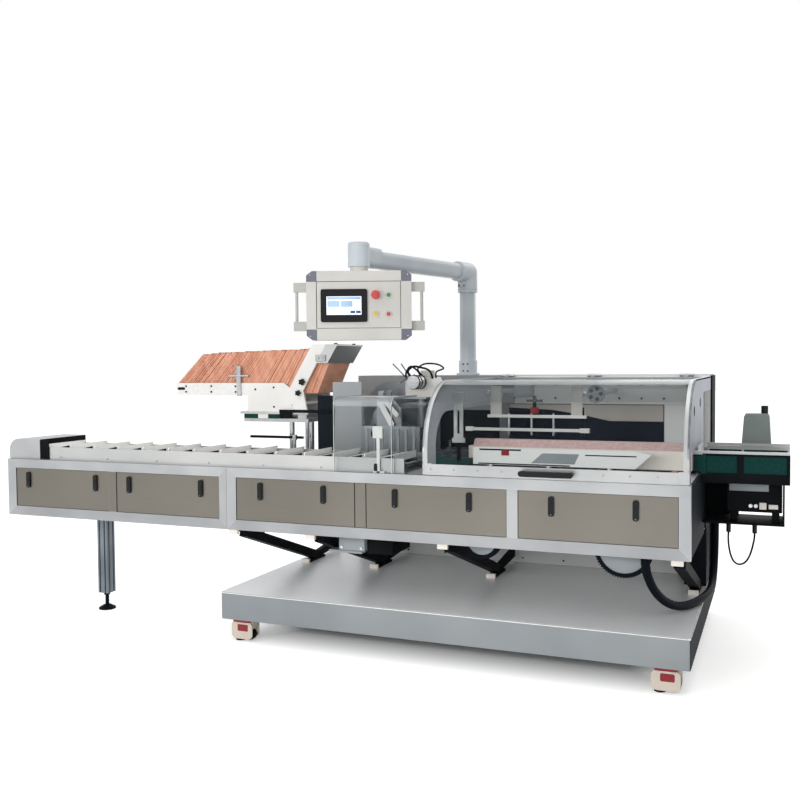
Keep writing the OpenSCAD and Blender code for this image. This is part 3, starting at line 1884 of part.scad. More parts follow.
// Three push buttons and the stop button
module panel_buttons() {
  color(red)
    machine()
      on_panel()
        for (x = button_x)
          for (z = button_z) {
            bar_y(panel_front - button_ring, panel_front, x, z, button_d);
            bar_y(panel_front - button_rise, panel_front - button_ring + 1, x, z, button_cap_d);
            if (x == button_x[0] && z == button_z[0]) {
              bar_y(panel_front - stop_rise, panel_front - button_rise + 1, x, z, button_cap_d);
              bar_y(panel_front - stop_rise, panel_front - stop_rise + stop_cap, x, z, stop_d);
            }
          }
}

grip_reach = 62;
grip_d = 14;
grip_lug_h = 44;
grip_y = [-26, -2];
grip_z = [panel_low + 66, panel_low + 248];

// Side handles: two brackets and a tube on each side of the enclosure
module panel_handles() {
  color(blue_grey)
    machine()
      on_panel()
        for (side = [-1, 1]) {
          x = side * (panel_w / 2 + grip_reach);
          bar_z(grip_z[0], grip_z[1], x - side * grip_d, (grip_y[0] + grip_y[1]) / 2, grip_d);
          for (z = grip_z)
            block([min(x, side * panel_w / 2), grip_y[0], z - grip_lug_h / 2],
               [max(x, side * panel_w / 2), grip_y[1], z + grip_lug_h / 2]);
        }
}

base_plinth();
castor_bodies();
castor_wheels();
castor_dials();
levelling_pads();
rear_cabinet();
rear_doors();
back_window();
end_panels();
right_end_plate();
main_housing();
infeed_housing();
front_trim();
front_panels();
panel_latches();
infeed_leg();
infeed_rails();
infeed_chain();
infeed_pockets();
infeed_end_cover();
support_brackets();
bracket_caps();
drive_units();
dust_hose();
hose_glands();
magazine_sides();
magazine_base();
carton_blanks();
magazine_gate();
magazine_outlet();
magazine_posts();
carton_feeder();
feeder_gearbox();
fixed_guard();
carton_conveyor();
carton_shroud();
folding_ploughs();
guide_blocks();
hold_down_frame();
height_knob();
panel_column();
discharge_frame();
discharge_panels();
discharge_belt();
coder_head();
coder_box();
coder_cable();
hood_left_arch();
hood_right_arch();
hood_rails();
hood_sheet();
hood_handle();
hood_hinges();
panel_arm();
panel_enclosure();
panel_corners();
panel_trim();
panel_screen();
panel_buttons();
panel_handles();
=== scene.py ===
"""Automatic cartoner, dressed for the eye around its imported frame.

Sizes are in millimetres in the machine's working axes: X runs right along the
line from the right end of the main housing, Y runs back from its front face and
Z rises from the floor. SHIFT takes a working point into the row's own frame.
"""

import logging
import math
from dataclasses import dataclass
from enum import Enum
from typing import ClassVar, Iterable, Sequence

import bmesh
import bpy
import numpy as np
from mathutils import Matrix, Vector


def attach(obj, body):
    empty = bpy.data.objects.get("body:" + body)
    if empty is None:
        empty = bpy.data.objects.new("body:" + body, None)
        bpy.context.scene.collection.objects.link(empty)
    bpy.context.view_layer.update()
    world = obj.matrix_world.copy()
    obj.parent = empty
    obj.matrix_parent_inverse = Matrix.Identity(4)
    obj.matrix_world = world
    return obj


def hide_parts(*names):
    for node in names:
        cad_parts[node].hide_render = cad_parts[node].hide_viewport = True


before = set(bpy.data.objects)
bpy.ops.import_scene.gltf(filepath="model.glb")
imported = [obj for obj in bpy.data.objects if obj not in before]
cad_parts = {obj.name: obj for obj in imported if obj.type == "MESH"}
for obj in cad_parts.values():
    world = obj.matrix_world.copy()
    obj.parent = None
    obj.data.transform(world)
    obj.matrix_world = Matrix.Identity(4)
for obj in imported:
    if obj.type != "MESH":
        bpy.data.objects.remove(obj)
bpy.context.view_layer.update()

Tree = bpy.types.NodeTree
Socket = bpy.types.NodeSocket
LOG = logging.getLogger("cartoner")
MM = 0.001
SHIFT = np.array([1543.0, -653.5, 0.0])
SEED = 20
# Height of the housings' deck, which the upper pieces stand on
DECK_Z = 827.0
# Pitch of the line's chains
CHAIN_PITCH = 25.4


class Plane(Enum):
    """A working plane, as the axes of its u and v and of the way through it."""

    XY = (0, 1, 2)
    XZ = (0, 2, 1)
    YZ = (1, 2, 0)


class Grain(Enum):
    """The way a brushed surface was drawn: long in one axis, fine in the others."""

    ALONG_X = (0,)
    ALONG_Z = (2,)
    ALL_ROUND = ()


# Surfaces as whole arrays


@dataclass
class Skin:
    """A surface: its points in millimetres and blocks of faces with equal corners.

    Args:
        points: Array of shape (n, 3).
        faces: Index arrays of shape (m, k), one for each number of corners k.
    """

    points: np.ndarray
    faces: list[np.ndarray]

    def __add__(self, other: "Skin") -> "Skin":
        """Both surfaces as one, the second's indices counted on from the first's."""
        start = len(self.points)
        return Skin(
            np.concatenate([self.points, other.points]),
            self.faces + [block + start for block in other.faces],
        )

    def moved(self, x: float = 0.0, y: float = 0.0, z: float = 0.0) -> "Skin":
        """The surface carried along by one offset."""
        return Skin(self.points + np.array([x, y, z]), self.faces)

    def turned(self, plane: Plane, degrees: float, u: float = 0.0, v: float = 0.0) -> "Skin":
        """The surface turned in a plane about the point (u, v), from u towards v."""
        a, b, _ = plane.value
        c, s = math.cos(math.radians(degrees)), math.sin(math.radians(degrees))
        points = self.points.copy()
        du, dv = self.points[:, a] - u, self.points[:, b] - v
        points[:, a] = u + c * du - s * dv
        points[:, b] = v + s * du + c * dv
        return Skin(points, self.faces)

    def repeated(self, offsets: Iterable[Sequence[float]]) -> "Skin":
        """One copy at each offset: the points are broadcast against the offsets."""
        steps = np.asarray(list(offsets), float)
        count = len(self.points)
        points = (steps[:, None, :] + self.points[None, :, :]).reshape(-1, 3)
        starts = np.arange(len(steps)) * count
        faces = [
            (block[None, :, :] + starts[:, None, None]).reshape(-1, block.shape[1])
            for block in self.faces
        ]
        return Skin(points, faces)


def joined(skins: Iterable[Skin]) -> Skin:
    """All the surfaces as one."""
    parts = list(skins)
    total = parts[0]
    for part in parts[1:]:
        total = total + part
    return total


def into(plane: Plane, uv: np.ndarray, w: np.ndarray) -> np.ndarray:
    """Points of a plane, with their place through it, as working points.

    Args:
        plane: The plane that u and v lie in.
        uv: Array of shape (..., 2).
        w: Array that broadcasts against uv without its last axis.

    Returns:
        Array of shape (..., 3).
    """
    a, b, c = plane.value
    points = np.empty(uv.shape[:-1] + (3,))
    points[..., a], points[..., b], points[..., c] = uv[..., 0], uv[..., 1], w
    return points


def loft(rings: np.ndarray, closed: bool = True, capped: bool = True) -> Skin:
    """Quads between each ring of points and the next, with a flat face on each end.

    Args:
        rings: Array of shape (rings, points in a ring, 3).
        closed: True where a ring's last point joins its first.
        capped: True where the two end rings are filled.

    Returns:
        The surface.
    """
    rings = np.asarray(rings, float)
    index = np.arange(rings.shape[0] * rings.shape[1]).reshape(rings.shape[:2])
    here, beside = (index, np.roll(index, -1, 1)) if closed else (index[:, :-1], index[:, 1:])
    quads = np.stack([here[:-1], beside[:-1], beside[1:], here[1:]], -1).reshape(-1, 4)
    ends = [index[:1, ::-1], index[-1:]] if capped else []
    return Skin(rings.reshape(-1, 3), [quads, *ends])


def inset(outline: np.ndarray, depth: float) -> np.ndarray:
    """An outline drawn in: each corner moves along its mitre by depth over the cosine."""
    ahead = np.roll(outline, -1, 0) - outline
    ahead /= np.maximum(np.linalg.norm(ahead, axis=1, keepdims=True), 1e-9)
    out_next = np.stack([ahead[:, 1], -ahead[:, 0]], 1)
    out_last = np.roll(out_next, 1, 0)
    share = np.maximum(1 + np.sum(out_next * out_last, 1, keepdims=True), 0.2)
    return outline - depth * (out_next + out_last) / share


def plate(outline: Sequence, plane: Plane, low: float, high: float, bevel: float = 1.0) -> Skin:
    """An outline carried straight through from low to high, with both rims bevelled.

    Args:
        outline: Points (u, v) round the plate, either way.
        plane: The plane of the outline.
        low: Where it starts along the plane's third axis.
        high: Where it ends.
        bevel: Width of the rims' bevel.

    Returns:
        The closed surface.
    """
    edge = np.asarray(outline, float)
    after = np.roll(edge, -1, 0)
    if np.sum(edge[:, 0] * after[:, 1] - after[:, 0] * edge[:, 1]) < 0:
        edge = edge[::-1]
    drawn = inset(edge, bevel)
    places = (low, low + bevel, high - bevel, high)
    rings = [into(plane, uv, np.float64(w)) for uv, w in zip((drawn, edge, edge, drawn), places)]
    return loft(np.stack(rings))


def box_outline(
    u0: float, v0: float, u1: float, v1: float, r: float = 0.0, n: int = 3,
) -> np.ndarray:
    """A rectangle whose corners are arcs of radius r, each in n steps."""
    if r <= 0:
        return np.array([[u0, v0], [u1, v0], [u1, v1], [u0, v1]], float)
    turn = np.linspace(0, math.pi / 2, n + 1)[None, :] + (np.arange(4) * math.pi / 2)[:, None]
    centre = np.array([[u1 - r, v1 - r], [u0 + r, v1 - r], [u0 + r, v0 + r], [u1 - r, v0 + r]])
    arc = np.stack([np.cos(turn), np.sin(turn)], -1) * r
    return (centre[:, None, :] + arc).reshape(-1, 2)


def slab(low: Sequence[float], high: Sequence[float], bevel: float = 1.2, r: float = 0.0) -> Skin:
    """A block between two corners with its rims bevelled and its uprights rounded by r."""
    outline = box_outline(low[0], low[1], high[0], high[1], r or 1.4 * bevel, 3 if r else 1)
    return plate(outline, Plane.XY, low[2], high[2], bevel)


def circle(u: float, v: float, r: float, n: int = 24) -> np.ndarray:
    """n points on a circle: the centre plus r times the cosine and sine of equal turns."""
    turn = np.arange(n) * 2 * math.pi / n
    return np.stack([u + r * np.cos(turn), v + r * np.sin(turn)], 1)


def lathe(profile: Sequence, plane: Plane, u: float, v: float, n: int = 28) -> Skin:
    """A profile of (radius, place) turned about the line through (u, v) across the plane."""
    shape = np.asarray(profile, float)
    unit = circle(0, 0, 1, n)
    uv = np.array([u, v]) + shape[:, 0, None, None] * unit[None]
    return loft(into(plane, uv, shape[:, 1, None] * np.ones(n)))


def rod(plane: Plane, u: float, v: float, low: float, high: float, r: float, n: int = 20) -> Skin:
    """A turned rod across a plane its ends chamfered by an eighth of its radius, to 1.5 mm."""
    c = min(r / 8, 1.5)
    return lathe([(r - c, low), (r, low + c), (r, high - c), (r - c, high)], plane, u, v, n)


def smooth(route: Sequence, count: int) -> np.ndarray:
    """A curve through the route: cubic Hermite spans on chord length, at equal steps.

    Args:
        route: Points to pass through.
        count: How many points come back.

    Returns:
        Array of shape (count, 3).
    """
    p = np.asarray(route, float)
    s = np.concatenate([[0], np.cumsum(np.linalg.norm(np.diff(p, axis=0), axis=1))])
    slope = np.gradient(p, s, axis=0)
    t = np.linspace(0, s[-1], count)
    i = np.clip(np.searchsorted(s, t, "right") - 1, 0, len(p) - 2)
    h = (s[i + 1] - s[i])[:, None]
    x = (t - s[i])[:, None] / h
    start = (2 * x**3 - 3 * x**2 + 1) * p[i] + (x**3 - 2 * x**2 + x) * h * slope[i]
    return start + (3 * x**2 - 2 * x**3) * p[i + 1] + (x**3 - x**2) * h * slope[i + 1]


def tube(path: np.ndarray, radius: float | np.ndarray, side: Sequence[float], n: int = 16) -> Skin:
    """A circle carried along a path: at each point its plane is spanned by the side
    direction made square to the path, and by the cross product of the two.

    Args:
        path: Array of shape (points, 3).
        radius: One radius, or one for each point.
        side: A direction that the path never runs along.
        n: Points round the tube.

    Returns:
        The closed surface.
    """
    along = np.gradient(path, axis=0)
    along /= np.linalg.norm(along, axis=1, keepdims=True)
    across = np.cross(np.asarray(side, float), along)
    across /= np.linalg.norm(across, axis=1, keepdims=True)
    up = np.cross(along, across)
    unit = circle(0, 0, 1, n)
    r = np.broadcast_to(np.asarray(radius, float), (len(path),))[:, None, None]
    spoke = across[:, None] * unit[None, :, :1] + up[:, None] * unit[None, :, 1:]
    return loft(path[:, None] + r * spoke)


def strip(path: np.ndarray, half: float, plane: Plane, low: float, high: float) -> Skin:
    """A flat band: a path in a plane, thickened by half to each side and carried across."""
    along = np.gradient(path, axis=0)
    along /= np.linalg.norm(along, axis=1, keepdims=True)
    normal = np.stack([-along[:, 1], along[:, 0]], 1)
    uv = np.stack([path + half * normal, path - half * normal], 1)[:, [0, 1, 1, 0]]
    return loft(into(plane, uv, np.array([low, low, high, high])))


def bolt(plane: Plane, face: float, out: float, d: float) -> Skin:
    """A hexagon head on its washer at the plane's zero point, standing out from a face."""
    rise = 0.62 * d * out
    washer = lathe([(d, face), (d, face + 0.14 * d * out)], plane, 0, 0, 12)
    low, high = sorted((face + 0.1 * d * out, face + rise))
    return washer + plate(circle(0, 0, 0.88 * d, 6), plane, low, high, 0.1 * d)


def screw(plane: Plane, face: float, out: float, d: float) -> Skin:
    """A low dome head with a hexagon socket at the plane's zero point on a face."""
    r, h = d / 2, 0.45 * d * out
    dome = [(r, face), (r, face + 0.4 * h), (0.86 * r, face + 0.85 * h), (0.55 * r, face + h)]
    well = [(0.5 * r, face + h), (0.46 * r, face + 0.4 * h)]
    return lathe(dome + well, plane, 0, 0, 12)


def grid(x: float | Sequence, y: float | Sequence = 0.0, z: float | Sequence = 0.0) -> np.ndarray:
    """Offsets at every pairing of the places along X, Y and Z, X changing slowest.

    Args:
        x: One place along X, or several.
        y: The same along Y.
        z: The same along Z.

    Returns:
        Array of shape (n, 3).
    """
    ways = [np.atleast_1d(np.asarray(places, float)) for places in (x, y, z)]
    return np.stack(np.meshgrid(*ways, indexing="ij"), -1).reshape(-1, 3)


# Finishes


def linear(code: str) -> tuple[float, float, float, float]:
    """An sRGB hex colour as linear red, green, blue and alpha."""
    value = np.array([int(code[i : i + 2], 16) for i in (1, 3, 5)]) / 255
    value = np.where(value <= 0.04045, value / 12.92, ((value + 0.055) / 1.055) ** 2.4)
    return (*value.tolist(), 1.0)


def add_node(
    tree: Tree, kind: str, inputs: dict | None = None, **settings: object,
) -> bpy.types.Node:
    """Adds one node with its settings, and sets or links its inputs.

    Args:
        tree: The node tree.
        kind: The node's type.
        inputs: Input name or number to a value, or to the output it is linked from.
        settings: Attributes of the node.

    Returns:
        The node.
    """
    node = tree.nodes.new(kind)
    for name, value in settings.items():
        setattr(node, name, value)
    for name, value in (inputs or {}).items():
        if isinstance(value, Socket):
            tree.links.new(value, node.inputs[name])
        else:
            node.inputs[name].default_value = value
    return node


@dataclass(frozen=True)
class Finish:
    """A surface finish, by two shades that it wanders between.

    Args:
        name: What the material is.
        colour: Its main shade, as sRGB hex.
        shade: Its second shade.
        roughness: Its middle roughness.
        slot: The record's material slot, where it has one; not used.
    """

    name: str
    colour: str
    shade: str
    roughness: float
    slot: str = ""

    def material(self) -> bpy.types.Material:
        """The finish as a material, made on its first use."""
        made = bpy.data.materials.get(self.name)
        if made is None:
            made = bpy.data.materials.new(self.name)
            made.use_nodes = True
            made.node_tree.nodes.clear()
            made.diffuse_color = linear(self.colour)
            shader = self.shader(made.node_tree)
            add_node(made.node_tree, "ShaderNodeOutputMaterial", {"Surface": shader})
        return made

    def shader(self, tree: Tree) -> Socket:
        """The surface shader's output."""
        raise NotImplementedError

    def pattern(self, tree: Tree, size: Sequence[float], detail: float = 2.0) -> Socket:
        """Noise whose lumps have the given sizes in millimetres along X, Y and Z."""
        place = add_node(tree, "ShaderNodeTexCoord").outputs["Object"]
        scale = tuple(1 / (MM * s) for s in size)
        place = add_node(tree, "ShaderNodeMapping", {"Vector": place, "Scale": scale}).outputs[0]
        noise = add_node(
            tree, "ShaderNodeTexNoise", {"Vector": place, "Scale": 1.0, "Detail": detail},
        )
        return noise.outputs["Fac"]

    def blend(self, tree: Tree, share: Socket, low: float = 0.32, high: float = 0.68) -> Socket:
        """The main shade turning to the second as the share goes from low to high."""
        ramp = add_node(tree, "ShaderNodeValToRGB", {"Fac": share})
        first, last = ramp.color_ramp.elements
        first.position, last.position = low, high
        first.color, last.color = linear(self.colour), linear(self.shade)
        return ramp.outputs["Color"]

    def around(self, tree: Tree, share: Socket, middle: float, swing: float) -> Socket:
        """A share from 0.25 to 0.75 as a value from middle less swing to middle plus swing."""
        limits = {
            "From Min": 0.25, "From Max": 0.75, "To Min": middle - swing, "To Max": middle + swing,
        }
        return add_node(tree, "ShaderNodeMapRange", {"Value": share, **limits}).outputs[0]

    def relief(self, tree: Tree, height: Socket, strength: float, depth: float) -> Socket:
        """A bump of the given depth in millimetres."""
        values = {"Strength": strength, "Distance": depth * MM, "Height": height}
        return add_node(tree, "ShaderNodeBump", values).outputs[0]


@dataclass(frozen=True)
class BrushedMetal(Finish):
    """Sheet metal drawn under a belt: fine lines one way and broad slow clouding."""

    grain: Grain = Grain.ALONG_X
    line: float = 1.6
    cloud: float = 420.0
    metal: float = 1.0
    bump: float = 0.12

    def shader(self, tree: Tree) -> Socket:
        """Clouded metal whose roughness and bump follow the drawn lines."""
        size = [self.line] * 3
        for axis in self.grain.value:
            size[axis] = 160 * self.line
        lines = self.pattern(tree, size, 3)
        values = {
            "Base Color": self.blend(tree, self.pattern(tree, [self.cloud] * 3)),
            "Metallic": self.metal,
            "Roughness": self.around(tree, lines, self.roughness, 0.08),
            "Normal": self.relief(tree, lines, self.bump, 0.25),
        }
        return add_node(tree, "ShaderNodeBsdfPrincipled", values).outputs[0]


@dataclass(frozen=True)
class Paint(Finish):
    """Sprayed paint: an even coat with orange peel and a slow drift of shade."""

    peel: float = 5.0
    coat: float = 0.1
    gloss: float = 0.4

    def shader(self, tree: Tree) -> Socket:
        """A coated dielectric with a pebbled skin."""
        peel = self.pattern(tree, [self.peel] * 3, 1)
        values = {
            "Base Color": self.blend(tree, self.pattern(tree, [260.0] * 3)),
            "Roughness": self.around(tree, peel, self.roughness, 0.05),
            "IOR": 1.5,
            "Specular IOR Level": self.gloss,
            "Coat Weight": self.coat,
            "Coat Roughness": 0.12,
            "Normal": self.relief(tree, peel, 0.08, 0.3),
        }
        return add_node(tree, "ShaderNodeBsdfPrincipled", values).outputs[0]


@dataclass(frozen=True)
class Moulded(Finish):
    """Moulded plastic or rubber: a spark-eroded grain and fine specks."""

    speck: float = 2.2
    bump: float = 0.2
    gloss: float = 0.3

    def shader(self, tree: Tree) -> Socket:
        """A dielectric with a fine grain in colour, roughness and bump."""
        speck = self.pattern(tree, [self.speck] * 3, 3)
        values = {
            "Base Color": self.blend(tree, speck),
            "Roughness": self.around(tree, speck, self.roughness, 0.07),
            "IOR": 1.52,
            "Specular IOR Level": self.gloss,
            "Normal": self.relief(tree, speck, self.bump, 0.25),
        }
        return add_node(tree, "ShaderNodeBsdfPrincipled", values).outputs[0]


@dataclass(frozen=True)
class ClearSheet(Finish):
    """Cast acrylic sheet: clear face on, mirror-like at a glance, a trace of haze."""

    least: float = 0.008
    most: float = 0.42

    def shader(self, tree: Tree) -> Socket:
        """A clear pass mixed with a gloss whose share rises as the sheet turns away."""
        haze = self.pattern(tree, [180.0] * 3)
        gloss = {
            "Base Color": self.blend(tree, haze),
            "Roughness": self.around(tree, haze, self.roughness, 0.02),
            "IOR": 1.49,
        }
        gloss_out = add_node(tree, "ShaderNodeBsdfPrincipled", gloss).outputs[0]
        clear = add_node(tree, "ShaderNodeBsdfTransparent", {"Color": linear("#fafbfb")}).outputs[0]
        turn = add_node(tree, "ShaderNodeLayerWeight", {"Blend": 0.28}).outputs["Fresnel"]
        limits = {"To Min": self.least, "To Max": self.most}
        share = add_node(tree, "ShaderNodeMapRange", {"Value": turn, **limits}).outputs[0]
        return add_node(tree, "ShaderNodeMixShader", {0: share, 1: clear, 2: gloss_out}).outputs[0]


@dataclass(frozen=True)
class Card(Finish):
    """Uncoated printed carton board: flat and fibrous, its cut edges mottled."""

    def shader(self, tree: Tree) -> Socket:
        """A rough dielectric with short fibres and a mottle from leaf to leaf."""
        fibre = self.pattern(tree, [3.0, 14.0, 3.0], 3)
        mottle = self.pattern(tree, [26.0, 120.0, 60.0], 2)
        values = {
            "Base Color": self.blend(tree, mottle, 0.3, 0.7),
            "Roughness": self.around(tree, fibre, self.roughness, 0.06),
            "IOR": 1.45,
            "Normal": self.relief(tree, fibre, 0.25, 0.3),
        }
        return add_node(tree, "ShaderNodeBsdfPrincipled", values).outputs[0]


@dataclass(frozen=True)
class Belting(Finish):
    """PVC belt with a woven face: small square lands in rows."""

    pitch: float = 6.0

    def shader(self, tree: Tree) -> Socket:
        """A dull dielectric with crossed threads drawn coarse enough to show."""
        place = add_node(tree, "ShaderNodeTexCoord").outputs["Object"]
        waves = []
        for way in ("X", "Y"):
            scale = {"Vector": place, "Scale": 1 / (MM * self.pitch * 3.2), "Distortion": 0.0}
            waves.append(
                add_node(tree, "ShaderNodeTexWave", scale, bands_direction=way).outputs["Fac"]
            )
        weave = add_node(
            tree, "ShaderNodeMath", {0: waves[0], 1: waves[1]}, operation="MULTIPLY",
        ).outputs[0]
        values = {
            "Base Color": self.blend(tree, weave, 0.0, 0.8),
            "Roughness": self.around(tree, weave, self.roughness, 0.06),
            "IOR": 1.5,
            "Normal": self.relief(tree, weave, 0.3, 0.4),
        }
        return add_node(tree, "ShaderNodeBsdfPrincipled", values).outputs[0]


@dataclass(frozen=True)
class Lit(Finish):
    """A lit display face under glass: even light with a slow fall across it."""

    glow: float = 0.35

    def shader(self, tree: Tree) -> Socket:
        """A smooth dielectric that also gives off its own shade."""
        shade = self.blend(tree, self.pattern(tree, [90.0] * 3))
        values = {
            "Base Color": shade,
            "Roughness": self.roughness,
            "IOR": 1.5,
            "Emission Color": shade,
            "Emission Strength": self.glow,
        }
        return add_node(tree, "ShaderNodeBsdfPrincipled", values).outputs[0]


# Folded stainless sheet, satin, faintly blue under the machine
PLINTH_STEEL = BrushedMetal(
    "satin_stainless_plinth", "#80868a", "#919699", 0.4, "plinth_steel", cloud=500.0, metal=0.5,
)
# Bright stainless plate, drawn along the line
HOUSING_STEEL = BrushedMetal("bright_stainless_plate", "#bcbebe", "#c9cac8", 0.44, "housing_steel")
# Satin stainless of the rear cabinet, a shade deeper
CABINET_STEEL = BrushedMetal(
    "satin_stainless_cabinet", "#999c9e", "#a7a9aa", 0.5, "housing_steel", cloud=800.0, metal=0.6,
)
# Warm grey stainless lift-off panels with a fine drawn face
PANEL_STEEL = BrushedMetal(
    "brushed_stainless_panel", "#74716a", "#848078", 0.44, "panel_steel", cloud=900.0,
)
# Polished stainless frame bars, nearly white under the lamps
TRIM_STEEL = BrushedMetal(
    "polished_stainless_trim", "#b1b3b5", "#c2c3c3", 0.42, "trim_steel", cloud=240.0,
)
# Satin stainless of the mitred frames
FRAME_STEEL = BrushedMetal(
    "satin_stainless_frame", "#a4a6a9", "#b3b5b7", 0.42, "trim_steel", cloud=240.0,
)
# Satin plate of the hood's left arch, painted far paler and less metallic than the right arch's
# steel: painted light on its shaded inner face
ARCH_STEEL_PAINTED_LIGHT = BrushedMetal(
    "satin_stainless_arch_painted_light", "#ccd1d9", "#d8dce3", 0.46, "trim_steel", cloud=300.0, metal=0.15,
)
# Satin plates of the hood's right arch
ARCH_STEEL = BrushedMetal(
    "satin_stainless_arch", "#8f949d", "#a0a5ad", 0.46, "trim_steel", cloud=300.0,
)
# Drawn stainless deck of the plinth, painted near white: painted light for the shade it lies in
# under the machine
DECK_STEEL_PAINTED_LIGHT = BrushedMetal(
    "brushed_stainless_deck_painted_light", "#eef1f4", "#f7f9fa", 0.34, "plinth_steel", cloud=500.0, metal=0.2,
)
# Stainless of the rear wall, the infeed's pockets and the plinth's folded edge, painted near white
# with little metal: painted reflection of the bright surround, and a painted highlight along the
# folded edge
WALL_STEEL_AND_PAINTED_LIGHT = BrushedMetal(
    "stainless_wall_and_painted_light", "#e9e9e7", "#f2f2f0", 0.4, "housing_steel", cloud=700.0, metal=0.1,
)
# Bent stainless of the magazine's base and the slot plate, lightly scratched
POCKET_STEEL = BrushedMetal(
    "scratched_stainless_pocket", "#b6b8b8", "#c8c9c8", 0.4, "pocket_steel", cloud=60.0,
)
# Ground and chromed rods and rails
POLISHED_STEEL = BrushedMetal(
    "chromed_steel", "#b0b3b6", "#c8cacc", 0.24, "polished_steel", cloud=60.0, bump=0.05,
)
# Oiled chain plates, darker in the joints
CHAIN_STEEL = BrushedMetal(
    "oiled_chain_steel", "#5e6265", "#83888b", 0.36, "chain_steel", grain=Grain.ALL_ROUND,
    cloud=30.0,
)
# Milled aluminium plate with a pale bloom
MILLED_ALUMINIUM = BrushedMetal(
    "milled_aluminium", "#8d9296", "#a2a7aa", 0.45, "machined_aluminium", cloud=120.0,
)
# Extruded aluminium, drawn and anodised grey
ANODISED = BrushedMetal(
    "drawn_anodised_aluminium", "#656e76", "#818a91", 0.36, "anodised_aluminium",
    grain=Grain.ALONG_Z, cloud=200.0, metal=0.45,
)
# Slate enamel on the end sheets, darkened nearly to black as painted shade for the machine's shaded
# right end; also laid as painted shade on the plinth's end, the rear corner and below the
# magazine's outlet
SLATE_AND_PAINTED_SHADE = Paint("slate_enamel_and_painted_shade", "#15191e", "#1e242a", 0.65, "slate_paint", gloss=0.06, coat=0.0)
# Black powder coat on the brackets and the control box; also laid flat as painted shade in
# openings, beside the infeed's pockets, under the discharge belt and behind the coder
BLACK_COAT_AND_PAINTED_SHADE = Paint(
    "black_powder_coat_and_painted_shade", "#0d0f12", "#17191c", 0.6, "black_paint", peel=3.0, gloss=0.05, coat=0.0,
)
# White stoving paint on the magazine plates
WHITE_PAINT = Paint("white_stoving_paint", "#dfdedb", "#e9e8e5", 0.4, "white_paint")
# Motor paint, a flat machine grey
MOTOR_PAINT = Paint("grey_motor_enamel", "#858c91", "#979da1", 0.42, "motor_grey")
# Gloss blue-grey on the swivel arm and its column
BLUE_GREY_PAINT = Paint("gloss_blue_grey_enamel", "#b0b8bf", "#bec5ca", 0.36, "blue_grey_paint")
# Warm white on the operator's box, the feeder's drive and the hold-down hangers
CREAM_PAINT = Paint("warm_white_enamel", "#bfbdb8", "#cac8c3", 0.36, "cream_paint")
# Grey-green coat on the coding head
CODER_PAINT = Paint("grey_green_coat", "#6f7a78", "#808a87", 0.45, "coder_grey")
# Cream painted castings of the castors
CREAM_CASTING = Paint("cream_painted_casting", "#c4b9ac", "#d5cbbf", 0.5, "cream_casting", peel=8.0)
# Black ABS handles and latches
BLACK_PLASTIC = Moulded("black_abs", "#0e0f12", "#17181b", 0.4, "black_plastic", gloss=0.22)
# Slate-violet moulded corner pieces, finely speckled
GREY_PLASTIC = Moulded("speckled_grey_abs", "#63646f", "#787985", 0.45, "grey_plastic", speck=3.0)
# Dark red moulded dials, castor plates and marks
RED_PLASTIC = Moulded("red_abs", "#7d1f26", "#93303a", 0.42, "red_plastic")
# Cream-white moulded feet of the brackets, the shroud's skirt and the coder's sockets
WHITE_PLASTIC = Moulded("cream_white_nylon", "#ded6cd", "#ebe4dc", 0.45, "white_plastic")
# Rose-tinted guard channel
ROSE_PLASTIC = Moulded("rose_acetal", "#bd9c99", "#cbb1ad", 0.36, "rose_plastic", speck=14.0)
# Deep green machined polyethylene
GREEN_PLASTIC = Moulded(
    "deep_green_polyethylene", "#0c3432", "#133f3b", 0.45, "green_plastic", speck=9.0, gloss=0.08,
)
# Black rubber, faintly blue where it shines
BLACK_RUBBER = Moulded(
    "matt_black_rubber", "#0a0e13", "#131820", 0.45, "black_rubber", speck=4.0, gloss=0.035,
)
# Cast acrylic guards
CLEAR_ACRYLIC = ClearSheet("clear_cast_acrylic", "#565b5d", "#5f6466", 0.05, "clear_acrylic")
# The same sheet with a painted highlight: a paler, more reflective strip laid along its bends
ACRYLIC_PAINTED_HIGHLIGHT = ClearSheet(
    "cast_acrylic_painted_highlight", "#c3c8cb", "#d0d4d6", 0.2, "clear_acrylic", least=0.3, most=0.7,
)
# Smoked acrylic in the rear cabinet's window
SMOKED_ACRYLIC = Paint(
    "smoked_cast_acrylic", "#1c212b", "#272d39", 0.45, "smoked_acrylic", coat=0.0, gloss=0.08,
)
# Salmon carton board
ORANGE_CARD = Card("salmon_carton_board", "#ce9075", "#e0a78e", 0.75, "orange_card")
# Warm grey lugs of the panel's side handles
LUG_PLASTIC = Moulded("warm_grey_nylon", "#a9a9a5", "#b8b8b3", 0.42, "grey_plastic")
# Warm grey blind in the rear window
BLIND_PAINT = Paint("warm_grey_blind", "#bdb5ae", "#cbc4bd", 0.6, "white_paint")
# Pale belt of the discharge
PALE_BELT = Belting("pale_pvc_belt", "#b9b4b1", "#cfcbc8", 0.45, "green_belt")
# The lit touch display, its fields and its keys
SCREEN = Lit("lit_display", "#e3ebf1", "#f3f6f8", 0.12, "screen_glass")
SCREEN_BLUE = Lit("lit_display_blue", "#86a5c4", "#9db8d2", 0.12, "screen_glass")
SCREEN_NAVY = Lit("lit_display_navy", "#24407a", "#2f4d8a", 0.12, "screen_glass", glow=0.2)
# Push-button caps and the plated rings round them
GREEN_CAP = Moulded("green_button_abs", "#2f7d4a", "#3d9159", 0.3, "red_plastic")
YELLOW_CAP = Moulded("yellow_button_abs", "#d3ab2c", "#e2bd45", 0.3, "red_plastic")
RED_CAP = Moulded("red_button_abs", "#b5403f", "#c95652", 0.3, "red_plastic")
PALE_RING = BrushedMetal(
    "pale_button_ring", "#c9c9c4", "#dcdcd7", 0.25, "polished_steel", grain=Grain.ALL_ROUND,
)


def wear(obj: bpy.types.Object, finish: Finish) -> None:
    """Puts a finish on every material slot of an object."""
    if not obj.material_slots:
        obj.data.materials.append(None)
    for held in obj.material_slots:
        held.material = finish.material()


